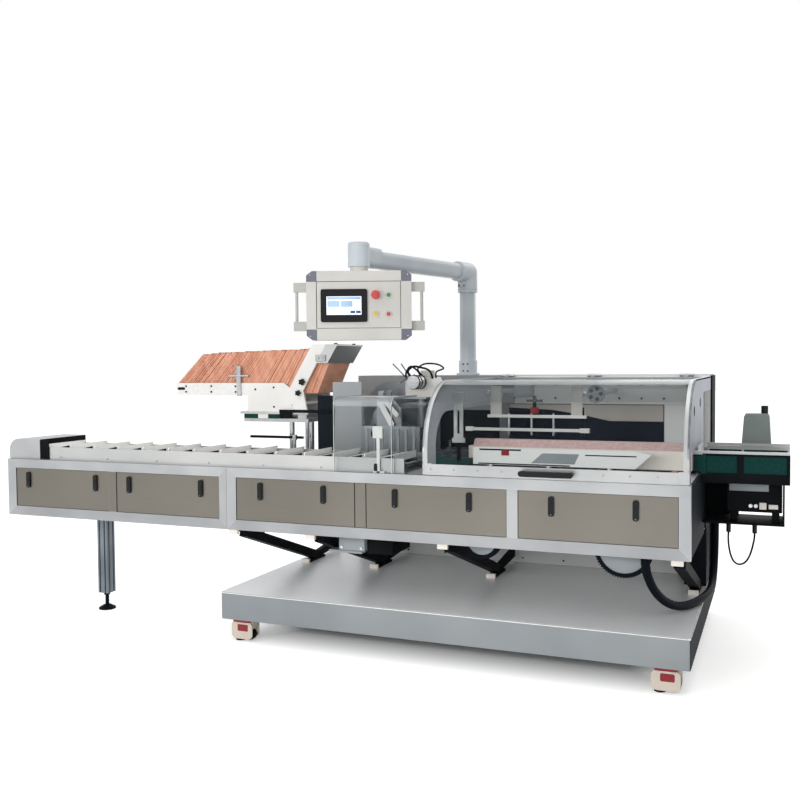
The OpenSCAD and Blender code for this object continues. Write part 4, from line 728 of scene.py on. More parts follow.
@dataclass
class SubAssembly:
    """Pieces that ride on one body, and the CAD nodes that keep their shape."""

    body: ClassVar[str] = "machine"
    nodes: ClassVar[dict[str, Finish]] = {}

    def dress(self) -> None:
        """Gives each kept CAD node its finish."""
        for name, finish in self.nodes.items():
            wear(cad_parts[name], finish)
            LOG.info("node %s wears %s", name, finish.name)

    def build(self) -> None:
        """Makes the pieces that the CAD nodes lack."""

    def world(self, points: np.ndarray) -> np.ndarray:
        """Points of this sub-assembly's own axes as working points."""
        return points

    def add(
        self, name: str, skin: Skin, finish: Finish, replaced: Sequence[str] = (),
        sharp: float = 32.0,
    ) -> bpy.types.Object:
        """Makes a piece from a surface, dresses it and sets it on this body.

        Args:
            name: The piece's name.
            skin: Its surface, in millimetres.
            finish: What it wears.
            replaced: CAD nodes that it stands for.
            sharp: Edges that turn by more degrees than this stay crisp.

        Returns:
            The object.
        """
        points = (self.world(skin.points) + SHIFT) * MM
        mesh = bpy.data.meshes.new(name)
        mesh.from_pydata(points.tolist(), [], [f for block in skin.faces for f in block.tolist()])
        work = bmesh.new()
        work.from_mesh(mesh)
        bmesh.ops.recalc_face_normals(work, faces=work.faces)
        work.to_mesh(mesh)
        work.free()
        mesh.polygons.foreach_set("use_smooth", np.ones(len(mesh.polygons), bool))
        mesh.set_sharp_from_angle(angle=math.radians(sharp))
        obj = bpy.data.objects.new(name, mesh)
        bpy.context.scene.collection.objects.link(obj)
        mesh.materials.append(finish.material())
        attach(obj, self.body)
        if replaced:
            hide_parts(*replaced)
        LOG.info("piece %s: %d faces on %s", name, len(mesh.polygons), self.body)
        return obj


@dataclass
class Studio:
    """Camera at the photograph's place, pale floor, soft lamps and a white surround."""

    eye: tuple[float, float, float] = (1.867, -4.3264, 1.300)
    focal_px: float = 924.0
    frame_px: float = 800.0
    yaw: float = 22.558
    pitch: float = -2.173
    roll: float = -0.492
    ambient: float = 0.62
    near_glow: float = 0.5
    far_glow: float = 0.62
    sensor_mm: float = 36.0
    floor_half: float = 40.0
    plinth_middle: tuple = (0.479, 0.029, 0.0)
    plinth_half: tuple = (1.064, 0.6825, 0.0)
    under: float = -0.28
    fade: tuple = (0.3, 3.6)
    lamps: tuple = (
        ("key_box", (-2.6, -5.2, 4.6), (0, 0, 0.8), 3.5, 42),
        ("top_box", (0.6, 0.2, 5.2), (0, 0, 0.8), 4.0, 40),
        ("back_box", (1.5, 5.0, 3.4), (0, 0, 0.8), 3.0, 40),
        ("low_strip", (-0.2, -4.6, 1.6), (-0.2, 0.4, 0.4), 4.0, 95, 0.5, False),
    )

    def camera(self) -> None:
        """A camera from yaw, pitch and roll: its axes are right, up and the view backwards."""
        yaw, pitch, roll = (math.radians(a) for a in (self.yaw, self.pitch, self.roll))
        view = Vector(
            (-math.sin(yaw) * math.cos(pitch), math.cos(yaw) * math.cos(pitch), math.sin(pitch))
        )
        right = Vector((math.cos(yaw), math.sin(yaw), 0))
        up = right.cross(view)
        c, s = math.cos(roll), math.sin(roll)
        axes = (c * right + s * up, c * up - s * right, -view)
        data = bpy.data.cameras.new("camera")
        data.sensor_fit, data.sensor_width = "HORIZONTAL", self.sensor_mm
        data.lens = self.sensor_mm * self.focal_px / self.frame_px
        data.clip_end = 100.0
        camera = bpy.data.objects.new("camera", data)
        turn = Matrix([[a[i] for a in axes] for i in range(3)]).to_4x4()
        camera.matrix_world = Matrix.Translation(self.eye) @ turn
        bpy.context.scene.collection.objects.link(camera)
        bpy.context.scene.camera = camera

    def looked_at(self, tree: Tree) -> Socket:
        """1 for the eye, gloss and clear sheets, and 0 for the light itself."""
        rays = add_node(tree, "ShaderNodeLightPath")
        seen = rays.outputs["Is Camera Ray"]
        for name in ("Is Glossy Ray", "Is Transmission Ray"):
            both = {0: seen, 1: rays.outputs[name]}
            seen = add_node(tree, "ShaderNodeMath", both, operation="MAXIMUM").outputs[0]
        return seen

    def world(self) -> None:
        """White to the eye, gloss and clear sheets; a softer level for the light itself."""
        world = bpy.data.worlds.new("studio")
        bpy.context.scene.world = world
        world.use_nodes = True
        tree = world.node_tree
        tree.nodes.clear()
        seen = self.looked_at(tree)
        level = {"Value": seen, "To Min": self.ambient, "To Max": 1.0}
        strength = add_node(tree, "ShaderNodeMapRange", level).outputs[0]
        shell = {"Color": linear("#ffffff"), "Strength": strength}
        back = add_node(tree, "ShaderNodeBackground", shell).outputs[0]
        add_node(tree, "ShaderNodeOutputWorld", {"Surface": back})

    def floor(self) -> None:
        """A wide flat floor that reads white where it is lit and keeps the shadow: its glow
        rises with the distance from the plinth's footprint, and is nothing under it."""
        half = self.floor_half
        mesh = bpy.data.meshes.new("floor")
        corners = [(-half, -half, 0), (half, -half, 0), (half, half, 0), (-half, half, 0)]
        mesh.from_pydata(corners, [], [(0, 1, 2, 3)])
        floor = bpy.data.objects.new("floor", mesh)
        bpy.context.scene.collection.objects.link(floor)
        made = bpy.data.materials.new("pale_floor")
        made.use_nodes = True
        tree = made.node_tree
        tree.nodes.clear()
        seen = self.looked_at(tree)
        place = add_node(tree, "ShaderNodeTexCoord").outputs["Object"]
        steps = (
            ("SUBTRACT", self.plinth_middle), ("ABSOLUTE", None), ("SUBTRACT", self.plinth_half),
        )
        for kind, value in steps:
            inputs = {0: place} if value is None else {0: place, 1: value}
            place = add_node(tree, "ShaderNodeVectorMath", inputs, operation=kind).outputs[0]
        sides = add_node(tree, "ShaderNodeSeparateXYZ", {0: place}).outputs
        away = add_node(
            tree, "ShaderNodeMath", {0: sides[0], 1: sides[1]}, operation="MAXIMUM",
        ).outputs[0]
        near = {"Value": away, "From Min": self.under, "From Max": 0.0, "To Max": self.near_glow}
        far = {
            "Value": away, "From Min": self.fade[0], "From Max": self.fade[1],
            "To Max": self.far_glow - self.near_glow,
        }
        glows = {
            k: add_node(tree, "ShaderNodeMapRange", v).outputs[0]
            for k, v in enumerate((near, far))
        }
        level = add_node(tree, "ShaderNodeMath", glows, operation="ADD").outputs[0]
        glow = add_node(
            tree, "ShaderNodeMath", {0: seen, 1: level}, operation="MULTIPLY",
        ).outputs[0]
        shade = {
            "Base Color": linear("#eeeeec"), "Roughness": 0.9, "Emission Color": linear("#ffffff"),
            "Emission Strength": glow,
        }
        skin = add_node(tree, "ShaderNodeBsdfPrincipled", shade).outputs[0]
        add_node(tree, "ShaderNodeOutputMaterial", {"Surface": skin})
        mesh.materials.append(made)

    def lamp(
        self, name: str, place: Sequence[float], aim: Sequence[float], size: float, power: float,
        rise: float = 0.0, mirrored: bool = True,
    ) -> None:
        """A soft box at a place, turned to its aim: square, or a strip of the given rise,
        and shown in polished metal or not."""
        data = bpy.data.lights.new(name, "AREA")
        data.shape = "RECTANGLE"
        data.size, data.size_y, data.energy = size, rise or size, power
        lamp = bpy.data.objects.new(name, data)
        lamp.visible_glossy = mirrored
        way = Vector(aim) - Vector(place)
        turn = way.to_track_quat("-Z", "Y").to_matrix().to_4x4()
        lamp.matrix_world = Matrix.Translation(place) @ turn
        bpy.context.scene.collection.objects.link(lamp)

    def build(self) -> None:
        """Camera, surround, floor and lamps."""
        bpy.context.scene.view_settings.view_transform = "Standard"
        self.camera()
        self.world()
        self.floor()
        for lamp in self.lamps:
            self.lamp(*lamp)


@dataclass
class Hoses(SubAssembly):
    """The dust hose and the coder's cable, each one smooth swept tube."""

    hose_d: float = 36.0
    cable_d: float = 8.0
    hose_route: tuple = (
        (-190, 140, 521), (-190, 142, 498), (-187, 149, 458), (-178, 168, 415), (-162, 200, 368),
        (-140, 245, 325), (-112, 300, 290), (-82, 362, 268), (-52, 430, 258), (-26, 500, 256),
        (-6, 570, 256), (8, 640, 256), (16, 710, 256), (20, 775, 257), (21, 835, 263),
        (21, 890, 278), (21, 938, 304), (21, 978, 340), (21, 1008, 384), (21, 1028, 434),
        (21, 1039, 488), (21, 1043, 545), (21, 1044, 600),
    )
    cable_route: tuple = (
        (105, 600, 560), (104, 600, 536), (105, 600, 508), (109, 600, 478), (116, 600, 450),
        (127, 600, 428), (143, 600, 416), (161, 600, 418), (177, 600, 430), (189, 600, 450),
        (199, 600, 478), (206, 600, 508), (211, 600, 536), (212, 600, 560),
    )
    nodes: ClassVar[dict[str, Finish]] = {"hose_glands": BLACK_PLASTIC}

    def run(
        self, name: str, route: Sequence, count: int, d: float, side: Sequence[float], n: int,
        stiffness: str, lay: str,
    ) -> None:
        path = smooth(route, count)
        piece = self.add(name + "_sweep", tube(path, d / 2, side, n), BLACK_RUBBER, (name,))

    def build(self) -> None:
        """The hose and the cable."""
        self.run("dust_hose", self.hose_route, 40, self.hose_d, (1, 0, 0), 24, "stiff", "hanging")
        self.run(
            "coder_cable", self.cable_route, 36, self.cable_d, (0, 1, 0), 12, "medium", "hanging",
        )


@dataclass
class Undercarriage(SubAssembly):
    """Plinth with a painted highlight along its folded edge, and the castors with red top plates.
    """

    x0: float = -2128.0
    y1: float = 1365.0
    top: float = 236.0
    edge: float = 5.0
    castor_x: tuple = (-2033.0, -95.0)
    castor_y: tuple = (62.0, 1303.0)
    nodes: ClassVar[dict[str, Finish]] = {
        "base_plinth": PLINTH_STEEL,
        "castor_bodies": CREAM_CASTING,
        "castor_wheels": BLACK_RUBBER,
        "castor_dials": RED_PLASTIC,
        "levelling_pads": BLACK_RUBBER,
    }

    def folded_edge(self) -> Skin:
        """A quarter round run along the plinth's top rim: a rectangle of four mitred
        corners, each profile point offset outwards and upwards from the rim."""
        turn = np.linspace(-0.15, math.pi / 2 + 0.15, 7)
        out = self.edge * (np.cos(turn) - 1) + 0.6
        rise = self.edge * (np.sin(turn) - 1) + 0.6
        sign = np.array([[-1, -1], [1, -1], [1, 1], [-1, 1], [-1, -1]], float)
        rim = np.array(
            [[self.x0, 0], [0, 0], [0, self.y1], [self.x0, self.y1], [self.x0, 0]], float,
        )
        uv = rim[:, None, :] + sign[:, None, :] * out[None, :, None]
        w = np.broadcast_to(self.top + rise, uv.shape[:2])
        return loft(into(Plane.XY, uv, w), closed=False, capped=False)

    def build(self) -> None:
        """Folded edge as a painted highlight, end sheet as painted shade, deck painted light, and
        the castors' plates, cheeks, fields, feet and bolts.
        """
        # A near-white bead: painted highlight along the plinth's folded edge
        self.add("plinth_edge_painted_highlight", self.folded_edge(), WALL_STEEL_AND_PAINTED_LIGHT)
        places = grid(self.castor_x, self.castor_y)
        red = slab((-43, -43, 93), (43, 43, 108.8), 1.2, 5).repeated(places)
        self.add("castor_top_plates", red, RED_PLASTIC)
        # A slate sheet over the plinth's right end: painted shade
        sheet = slab((-0.6, 3, 111), (0.6, self.y1 - 3, self.top - 5), 0.4)
        self.add("plinth_end_painted_shade", sheet, SLATE_AND_PAINTED_SHADE)
        # The deck's near-white colour is painted light for the shade under the housing
        deck = slab((self.x0 + 4, 4, self.top - 0.1), (-4, 1112, self.top + 0.7), 0.3)
        self.add("plinth_deck", deck, DECK_STEEL_PAINTED_LIGHT)
        cheek = plate(box_outline(-57, 12, 57, 95, 24, 5), Plane.XZ, 29.5, 35, 1.5)
        self.add(
            "castor_cheeks", cheek.repeated(grid(0, (0, -64.5))).repeated(places), CREAM_CASTING,
        )
        dial = plate(box_outline(-22, 50, 34, 82, 5), Plane.XZ, -35.8, -34.6, 0.3).repeated(places)
        self.add("castor_dial_windows", dial, RED_PLASTIC)
        foot = lathe([(9, 12), (24, 12), (27, 15), (25, 21), (9, 22)], Plane.XY, -26, 0, 28)
        self.add("castor_feet", foot.repeated(places), CREAM_CASTING)
        bolts = bolt(Plane.XY, 93, -1, 8).repeated(grid((-32, 32), (-32, 32))).repeated(places)
        self.add("castor_plate_bolts", bolts, POLISHED_STEEL)


@dataclass
class FrontPanels(SubAssembly):
    """Housings, mitred trim, lift-off panels and their paddle latches."""

    spans: tuple = ((-3386, -2782.5), (-2736.5, -2134), (-2041, -1428), (-1373, -732), (-685, -46))
    latch_in: tuple = ((84, 84), (78, 104), (130, 156), (138, 164), (140, 162))
    latch_z: float = 720.0
    rear_latch_x: tuple = (-1890, -1260, -630)
    nodes: ClassVar[dict[str, Finish]] = {
        "main_housing": HOUSING_STEEL,
        "infeed_housing": HOUSING_STEEL,
        "front_trim": FRAME_STEEL,
        "front_panels": PANEL_STEEL,
        "right_end_plate": CABINET_STEEL,
        "end_panels": SLATE_AND_PAINTED_SHADE,
    }

    def latch_x(self) -> list[float]:
        """Where the latches stand along the line."""
        return [x for (a, b), (u, v) in zip(self.spans, self.latch_in) for x in (a + u, b - v)]

    def paddle(self) -> Skin:
        """A latch paddle: its face rises to a finger ridge along its length, as the
        square of a half sine of the place up the paddle."""
        t = np.linspace(0, 1, 9)
        z = -22 + 44 * t
        y = 2.4 - 2.2 * np.sin(math.pi * t) ** 2
        half = 5.5 - 1.2 * (2 * t - 1) ** 4
        x = np.array([-1, 1, 1, -1])
        depth = np.array([0, 0, 1, 1])
        rings = np.empty((9, 4, 3))
        rings[..., 0] = half[:, None] * x
        rings[..., 1] = np.where(depth, 7.0, y[:, None])
        rings[..., 2] = z[:, None]
        return loft(rings)

    def build(self) -> None:
        """Latch paddles, bodies and pins, panel seams and the mullion's facing."""
        x = self.latch_x()
        self.add(
            "latch_paddles", self.paddle().repeated(grid(x, 0, self.latch_z + 2)), BLACK_PLASTIC,
        )
        case = plate(box_outline(-12, -41, 12, 41, 9.5), Plane.XZ, 2, 11, 1)
        body = joined([
            case.repeated(grid(x, 0, self.latch_z)),
            case.repeated(grid((84, 516), 1339, 738)).repeated(grid(self.rear_latch_x)),
        ])
        self.add("latch_bodies", body, BLACK_PLASTIC, ("panel_latches",))
        pins = screw(Plane.XZ, 2.4, -1, 7).repeated(grid(x, 0, self.latch_z - 33))
        self.add("latch_pins", pins, CHAIN_STEEL)
        ends = [end for a, b in self.spans for end in (a + 1, b - 1)]
        seams = slab((-1.2, 10.2, 583), (1.2, 11.4, 779), 0.3).repeated(grid(ends))
        self.add("panel_seams", seams, BLACK_COAT_AND_PAINTED_SHADE)
        facing = slab((self.spans[0][1] + 0.6, 7.0, 582), (self.spans[1][0] - 0.6, 8.6, 780), 0.4)
        self.add("mullion_facing", facing, PANEL_STEEL)


@dataclass
class Infeed(SubAssembly):
    """Pocket chain between its rails, its end cover and its leg."""

    first_roller: float = -3370.0
    rollers: int = 84
    first_pocket: float = -3348.5
    pocket_pitch: float = 150.0
    pockets: int = 14
    nodes: ClassVar[dict[str, Finish]] = {
        "infeed_rails": HOUSING_STEEL,
        "infeed_chain": CHAIN_STEEL,
        "infeed_pockets": WALL_STEEL_AND_PAINTED_LIGHT,
        "infeed_end_cover": TRIM_STEEL,
        "infeed_leg": ANODISED,
    }

    def build(self) -> None:
        """Chain rollers, the cover's mouth as painted shade, pocket floors with painted shadow
        wedges, rail screws and the foot's nut.
        """
        x = self.first_roller + CHAIN_PITCH * np.arange(self.rollers)
        roller = rod(Plane.XZ, 0, 0, 80, 260, 6.5, 10)
        self.add("infeed_chain_rollers", roller.repeated(grid(x, 0, 870)), CHAIN_STEEL)
        # Black sheets in the cover's mouth: painted shade of the opening
        mouth = joined([
            slab((-3232, 18.5, 829), (-3173, 23.8, 927), 0.8),
            slab((-3231, 22, 894), (-3226, 355, 930), 0.8),
            slab((-3231, 317, 829), (-3226, 355, 895), 0.8),
        ])
        self.add("cover_mouth", mouth, BLACK_COAT_AND_PAINTED_SHADE)
        pockets = grid(self.first_pocket + self.pocket_pitch * np.arange(self.pockets))
        ramp = plate(
            [(14.5, 876.6), (149.5, 876.6), (149.5, 905), (14.5, 878.4)], Plane.XZ, 34, 306, 0.4,
        )
        self.add("pocket_ramps", ramp.repeated(pockets), WALL_STEEL_AND_PAINTED_LIGHT)
        # Black wedges beside each pocket: painted shadow under the next pocket's raised end
        cheek = plate([(16, 874), (149, 874), (149, 904), (16, 878)], Plane.XZ, 33.1, 34.2, 0.2)
        self.add("pocket_painted_shadows", cheek.repeated(pockets), BLACK_COAT_AND_PAINTED_SHADE)
        heads = screw(Plane.XZ, 24, -1, 9).repeated(grid(np.arange(-3100, -1200, 300.0), 0, 842))
        self.add("rail_screws", heads, POLISHED_STEEL)
        nut = joined([
            plate(circle(-3044, 288, 16, 6), Plane.XY, 78, 90, 1.5),
            lathe([(8, 20), (8, 80)], Plane.XY, -3044, 288, 16),
        ])
        self.add("leg_lock_nut", nut, POLISHED_STEEL)


@dataclass
class Underframe(SubAssembly):
    """Black brackets on cream feet, and the drives that hang below the housing."""

    bracket_x: tuple = (-2058.0, -1652.0, -1016.0, -51.0)
    motor_x: float = -1526.0
    housing_z: float = 535.0
    drum_x: tuple = (-898.0, -285.0)
    drum_r: tuple = (76.0, 110.0)
    nodes: ClassVar[dict[str, Finish]] = {
        "support_brackets": BLACK_COAT_AND_PAINTED_SHADE,
        "bracket_caps": WHITE_PLASTIC,
        "drive_units": MOTOR_PAINT,
    }

    def belt_teeth(self, x: float, r: float) -> Skin:
        """A toothed band under a drum: the lower half circle with a square wave on it."""
        turn = np.linspace(math.pi * 1.04, math.pi * 1.96, 181)
        wave = np.where(np.arange(181) % 6 < 3, 5.0, 0.0)
        reach = r + 6 + wave
        path = np.stack([x + reach * np.cos(turn), self.housing_z - 6 + reach * np.sin(turn)], 1)
        inner = np.stack(
            [x + (r - 9) * np.cos(turn), self.housing_z - 6 + (r - 9) * np.sin(turn)], 1,
        )
        uv = np.stack([path, inner, inner, path], 1)
        return loft(into(Plane.XZ, uv, np.array([186.0, 186.0, 232.0, 232.0])))

    def build(self) -> None:
        """Motor fins, cradle and guard, bracket stays and gussets, drum belts and gearbox bolts."""
        rings = np.arange(346, 500, 12.0)
        fin = lathe([(50, -2), (58, -2), (58, 2), (50, 2)], Plane.XZ, 0, 0, 32)
        self.add("motor_fins", fin.repeated(grid(self.motor_x, rings, 477)), MOTOR_PAINT)
        cradle = joined([
            slab((-1735, 210, 466), (-1592, 420, 535), 2),
            slab((-1462, 210, 424), (-1330, 420, 535), 2),
            slab((-1592, 196, 436), (-1462, 420, 446), 1),
        ])
        self.add("motor_cradle", cradle, BLACK_COAT_AND_PAINTED_SHADE)
        stay = plate(
            [(800, 240), (1114, 268), (1114, 312), (890, 284), (800, 272)], Plane.YZ, -14, 14, 1,
        )
        self.add("bracket_stays", stay.repeated(grid(self.bracket_x[:3])), BLACK_COAT_AND_PAINTED_SHADE)
        gusset = plate(
            [(24, 534), (330, 534), (330, 500), (240, 452), (150, 486)], Plane.YZ, -6, 6, 1,
        )
        self.add("bracket_gussets", gusset.repeated(grid(self.bracket_x)), BLACK_COAT_AND_PAINTED_SHADE)
        self.add("motor_guard_bar", slab((-1650, 190, 424), (-1480, 300, 436), 1), MOTOR_PAINT)
        box = slab((-1500, 186, 441), (-1464, 250, 492), 3, 6)
        self.add("motor_terminal_box", box, BLACK_PLASTIC)
        belts = joined(self.belt_teeth(x, r) for x, r in zip(self.drum_x, self.drum_r))
        self.add("drum_belts", belts, BLACK_RUBBER, sharp=20)
        face = grid((self.motor_x - 50, self.motor_x + 50), 0, (453, 521))
        self.add("gearbox_bolts", bolt(Plane.XZ, 180, -1, 9).repeated(face), POLISHED_STEEL)


@dataclass
class Magazine(SubAssembly):
    """Leaning stack of flat cartons between white plates, and what holds it."""

    first: float = -2699.0
    last: float = -1830.0
    lean: tuple = (1.05, 0.45)
    pivot: float = 1213.0
    foot: float = 1160.0
    tops: tuple = (1367.0, 1389.0)
    sides: tuple = (484.0, 726.0)
    leaves: int = 168
    wide_share: float = 0.2
    gaps: tuple = (2.2, 0.7)
    uneven: float = 2.2
    drop: float = 5.0
    sway: float = 1.4
    nodes: ClassVar[dict[str, Finish]] = {
        "magazine_sides": WHITE_PAINT,
        "magazine_base": POCKET_STEEL,
        "magazine_posts": POLISHED_STEEL,
    }

    def cartons(self) -> Skin:
        """Every leaf at once: four corners of a leaning parallelogram, x = start + lean
        times (z less the pivot), at two sides, the lean falling evenly from leaf to leaf,
        with a seeded lift of each leaf. A foot that would pass the stack's end is raised."""
        draw = np.random.default_rng(SEED)
        pitch = (self.last - self.first) / self.leaves
        start = self.first + pitch * np.arange(self.leaves)
        wide = draw.random(self.leaves) < self.wide_share
        thick = pitch - np.where(wide, *self.gaps)
        rise = np.linspace(*self.tops, self.leaves) + draw.normal(0, self.uneven, self.leaves)
        rise -= np.where(wide, self.drop, 0.0)
        shift = draw.normal(0, self.sway, self.leaves)
        lean = np.linspace(*self.lean, self.leaves)
        foot = np.maximum(self.foot, self.pivot - (start - self.first) / lean)
        z = np.stack([foot, foot, rise, rise], 1)
        edges = np.stack([start, start + thick, start + thick, start], 1)
        along = edges + lean[:, None] * (z - self.pivot)
        y0, y1 = self.sides[0] + shift, self.sides[1] + shift
        points = np.empty((self.leaves, 2, 4, 3))
        points[..., 0], points[..., 2] = along[:, None], z[:, None]
        points[:, 0, :, 1], points[:, 1, :, 1] = y0[:, None], y1[:, None]
        one = np.array(
            [[0, 1, 5, 4], [1, 2, 6, 5], [2, 3, 7, 6], [3, 0, 4, 7], [3, 2, 1, 0], [4, 5, 6, 7]]
        )
        faces = (one[None] + 8 * np.arange(self.leaves)[:, None, None]).reshape(-1, 4)
        return Skin(points.reshape(-1, 3), [faces])

    def star_knob(self, x: float, y: float, z: float, r: float) -> Skin:
        """A lobed knob: its rim is r times one plus 0.18 times the cosine of five turns."""
        turn = np.arange(40) * 2 * math.pi / 40
        rim = r * (1 + 0.18 * np.cos(5 * turn))
        uv = np.stack([x + rim * np.cos(turn), z + rim * np.sin(turn)], 1)
        stem = rod(Plane.XZ, x, z, y - 6, y + 14, r * 0.38)
        return plate(uv, Plane.XZ, y - 22, y - 4, 3) + stem

    def gate(self) -> Skin:
        """Two cranked bars, each a six-point outline carried across, tied by a rod."""
        bar = plate(
            [
                (-1975, 1065), (-1900, 1065), (-1923, 1174), (-1790, 1406), (-1870, 1406),
                (-2008, 1174),
            ],
            Plane.XZ, 456, 470, 1,
        )
        return bar.repeated(grid(0, (0, 284))) + rod(Plane.XZ, -1923, 1111, 457, 753, 8)

    def outlet(self) -> Skin:
        """Two cheeks, a roof and a leaning front plate past the gate."""
        cheek = plate(
            [(-1789.9, 1406), (-1723, 1406), (-1782, 1312), (-1843.8, 1312)], Plane.XZ, 456, 464, 1,
        )
        front = plate(
            [(-1731, 1406), (-1723, 1406), (-1782, 1312), (-1790, 1312)], Plane.XZ, 457, 753, 0.8,
        )
        roof = slab((-1789.9, 457, 1398), (-1724, 753, 1406), 0.8)
        return cheek.repeated(grid(0, (0, 290))) + front + roof

    def build(self) -> None:
        """Leaves, gate, outlet, knobs, bolts, plates, the one below the outlet as painted shade,
        base blocks, clamp and crank sleeve.
        """
        self.add("carton_leaves", self.cartons(), ORANGE_CARD, ("carton_blanks",))
        self.add("gate_bars", self.gate(), WHITE_PAINT, ("magazine_gate",))
        self.add("outlet_hood", self.outlet(), HOUSING_STEEL, ("magazine_outlet",))
        knobs = self.star_knob(-1922, 456, 1218, 15) + self.star_knob(-1945, 456, 1162, 13)
        self.add("gate_star_knobs", knobs, BLACK_PLASTIC)
        lone = [(-2210, 0, 1180), (-2100, 0, 1090), (-2100, 0, 1190), (-1990, 0, 1100)]
        heads = np.vstack([grid((-2640, -2480, -2330), 0, (1166, 1196)), lone])
        self.add("magazine_bolts", screw(Plane.XZ, 470, -1, 10).repeated(heads), BLACK_COAT_AND_PAINTED_SHADE)
        # A black plate for the slot: painted shade
        slot = plate(box_outline(-2695, 1176, -2646, 1190, 6.5), Plane.XZ, 468.8, 471, 0.5)
        self.add("side_plate_slot_painted_shade", slot, BLACK_COAT_AND_PAINTED_SHADE)
        under = joined([
            slab((-2058, 448, 1062), (-1757, 456, 1077), 1),
            slab((-2058, 450, 1036), (-1990, 463, 1064), 1),
        ])
        self.add("support_plate", under, BLACK_COAT_AND_PAINTED_SHADE)
        # A dark slate plate below the outlet: painted shade
        frame_plate = slab((-1849, 472, DECK_Z), (-1764, 478, 1150), 0.8)
        self.add("magazine_plate_painted_shade", frame_plate, SLATE_AND_PAINTED_SHADE)
        blocks = joined([
            slab((-2276, 463, 1030), (-2194, 486, 1053), 1),
            slab((-2132, 463, 1030), (-2052, 486, 1053), 1),
        ])
        self.add("base_blocks", blocks, GREEN_PLASTIC)
        pale = slab((-2193, 464, 1030), (-2133, 486, 1053), 1)
        self.add("base_pale_block", pale, WHITE_PAINT)
        clamp = joined([
            slab((-1846, 448, 1322), (-1792, 456.4, 1352), 1, 6),
            rod(Plane.XZ, -1832, 1337, 440, 449, 7),
            rod(Plane.XZ, -1806, 1337, 440, 449, 7),
        ])
        self.add("outlet_clamp", clamp, POLISHED_STEEL)
        crank = rod(Plane.YZ, 436, 938, -2220, -1912, 6.8)
        self.add("crank_bar_sleeve", crank, BLACK_RUBBER)
        caps = bolt(Plane.XY, 1406, 1, 11).repeated(grid(-1756, (500, 710)))
        self.add("outlet_bolts", caps, BLACK_PLASTIC)


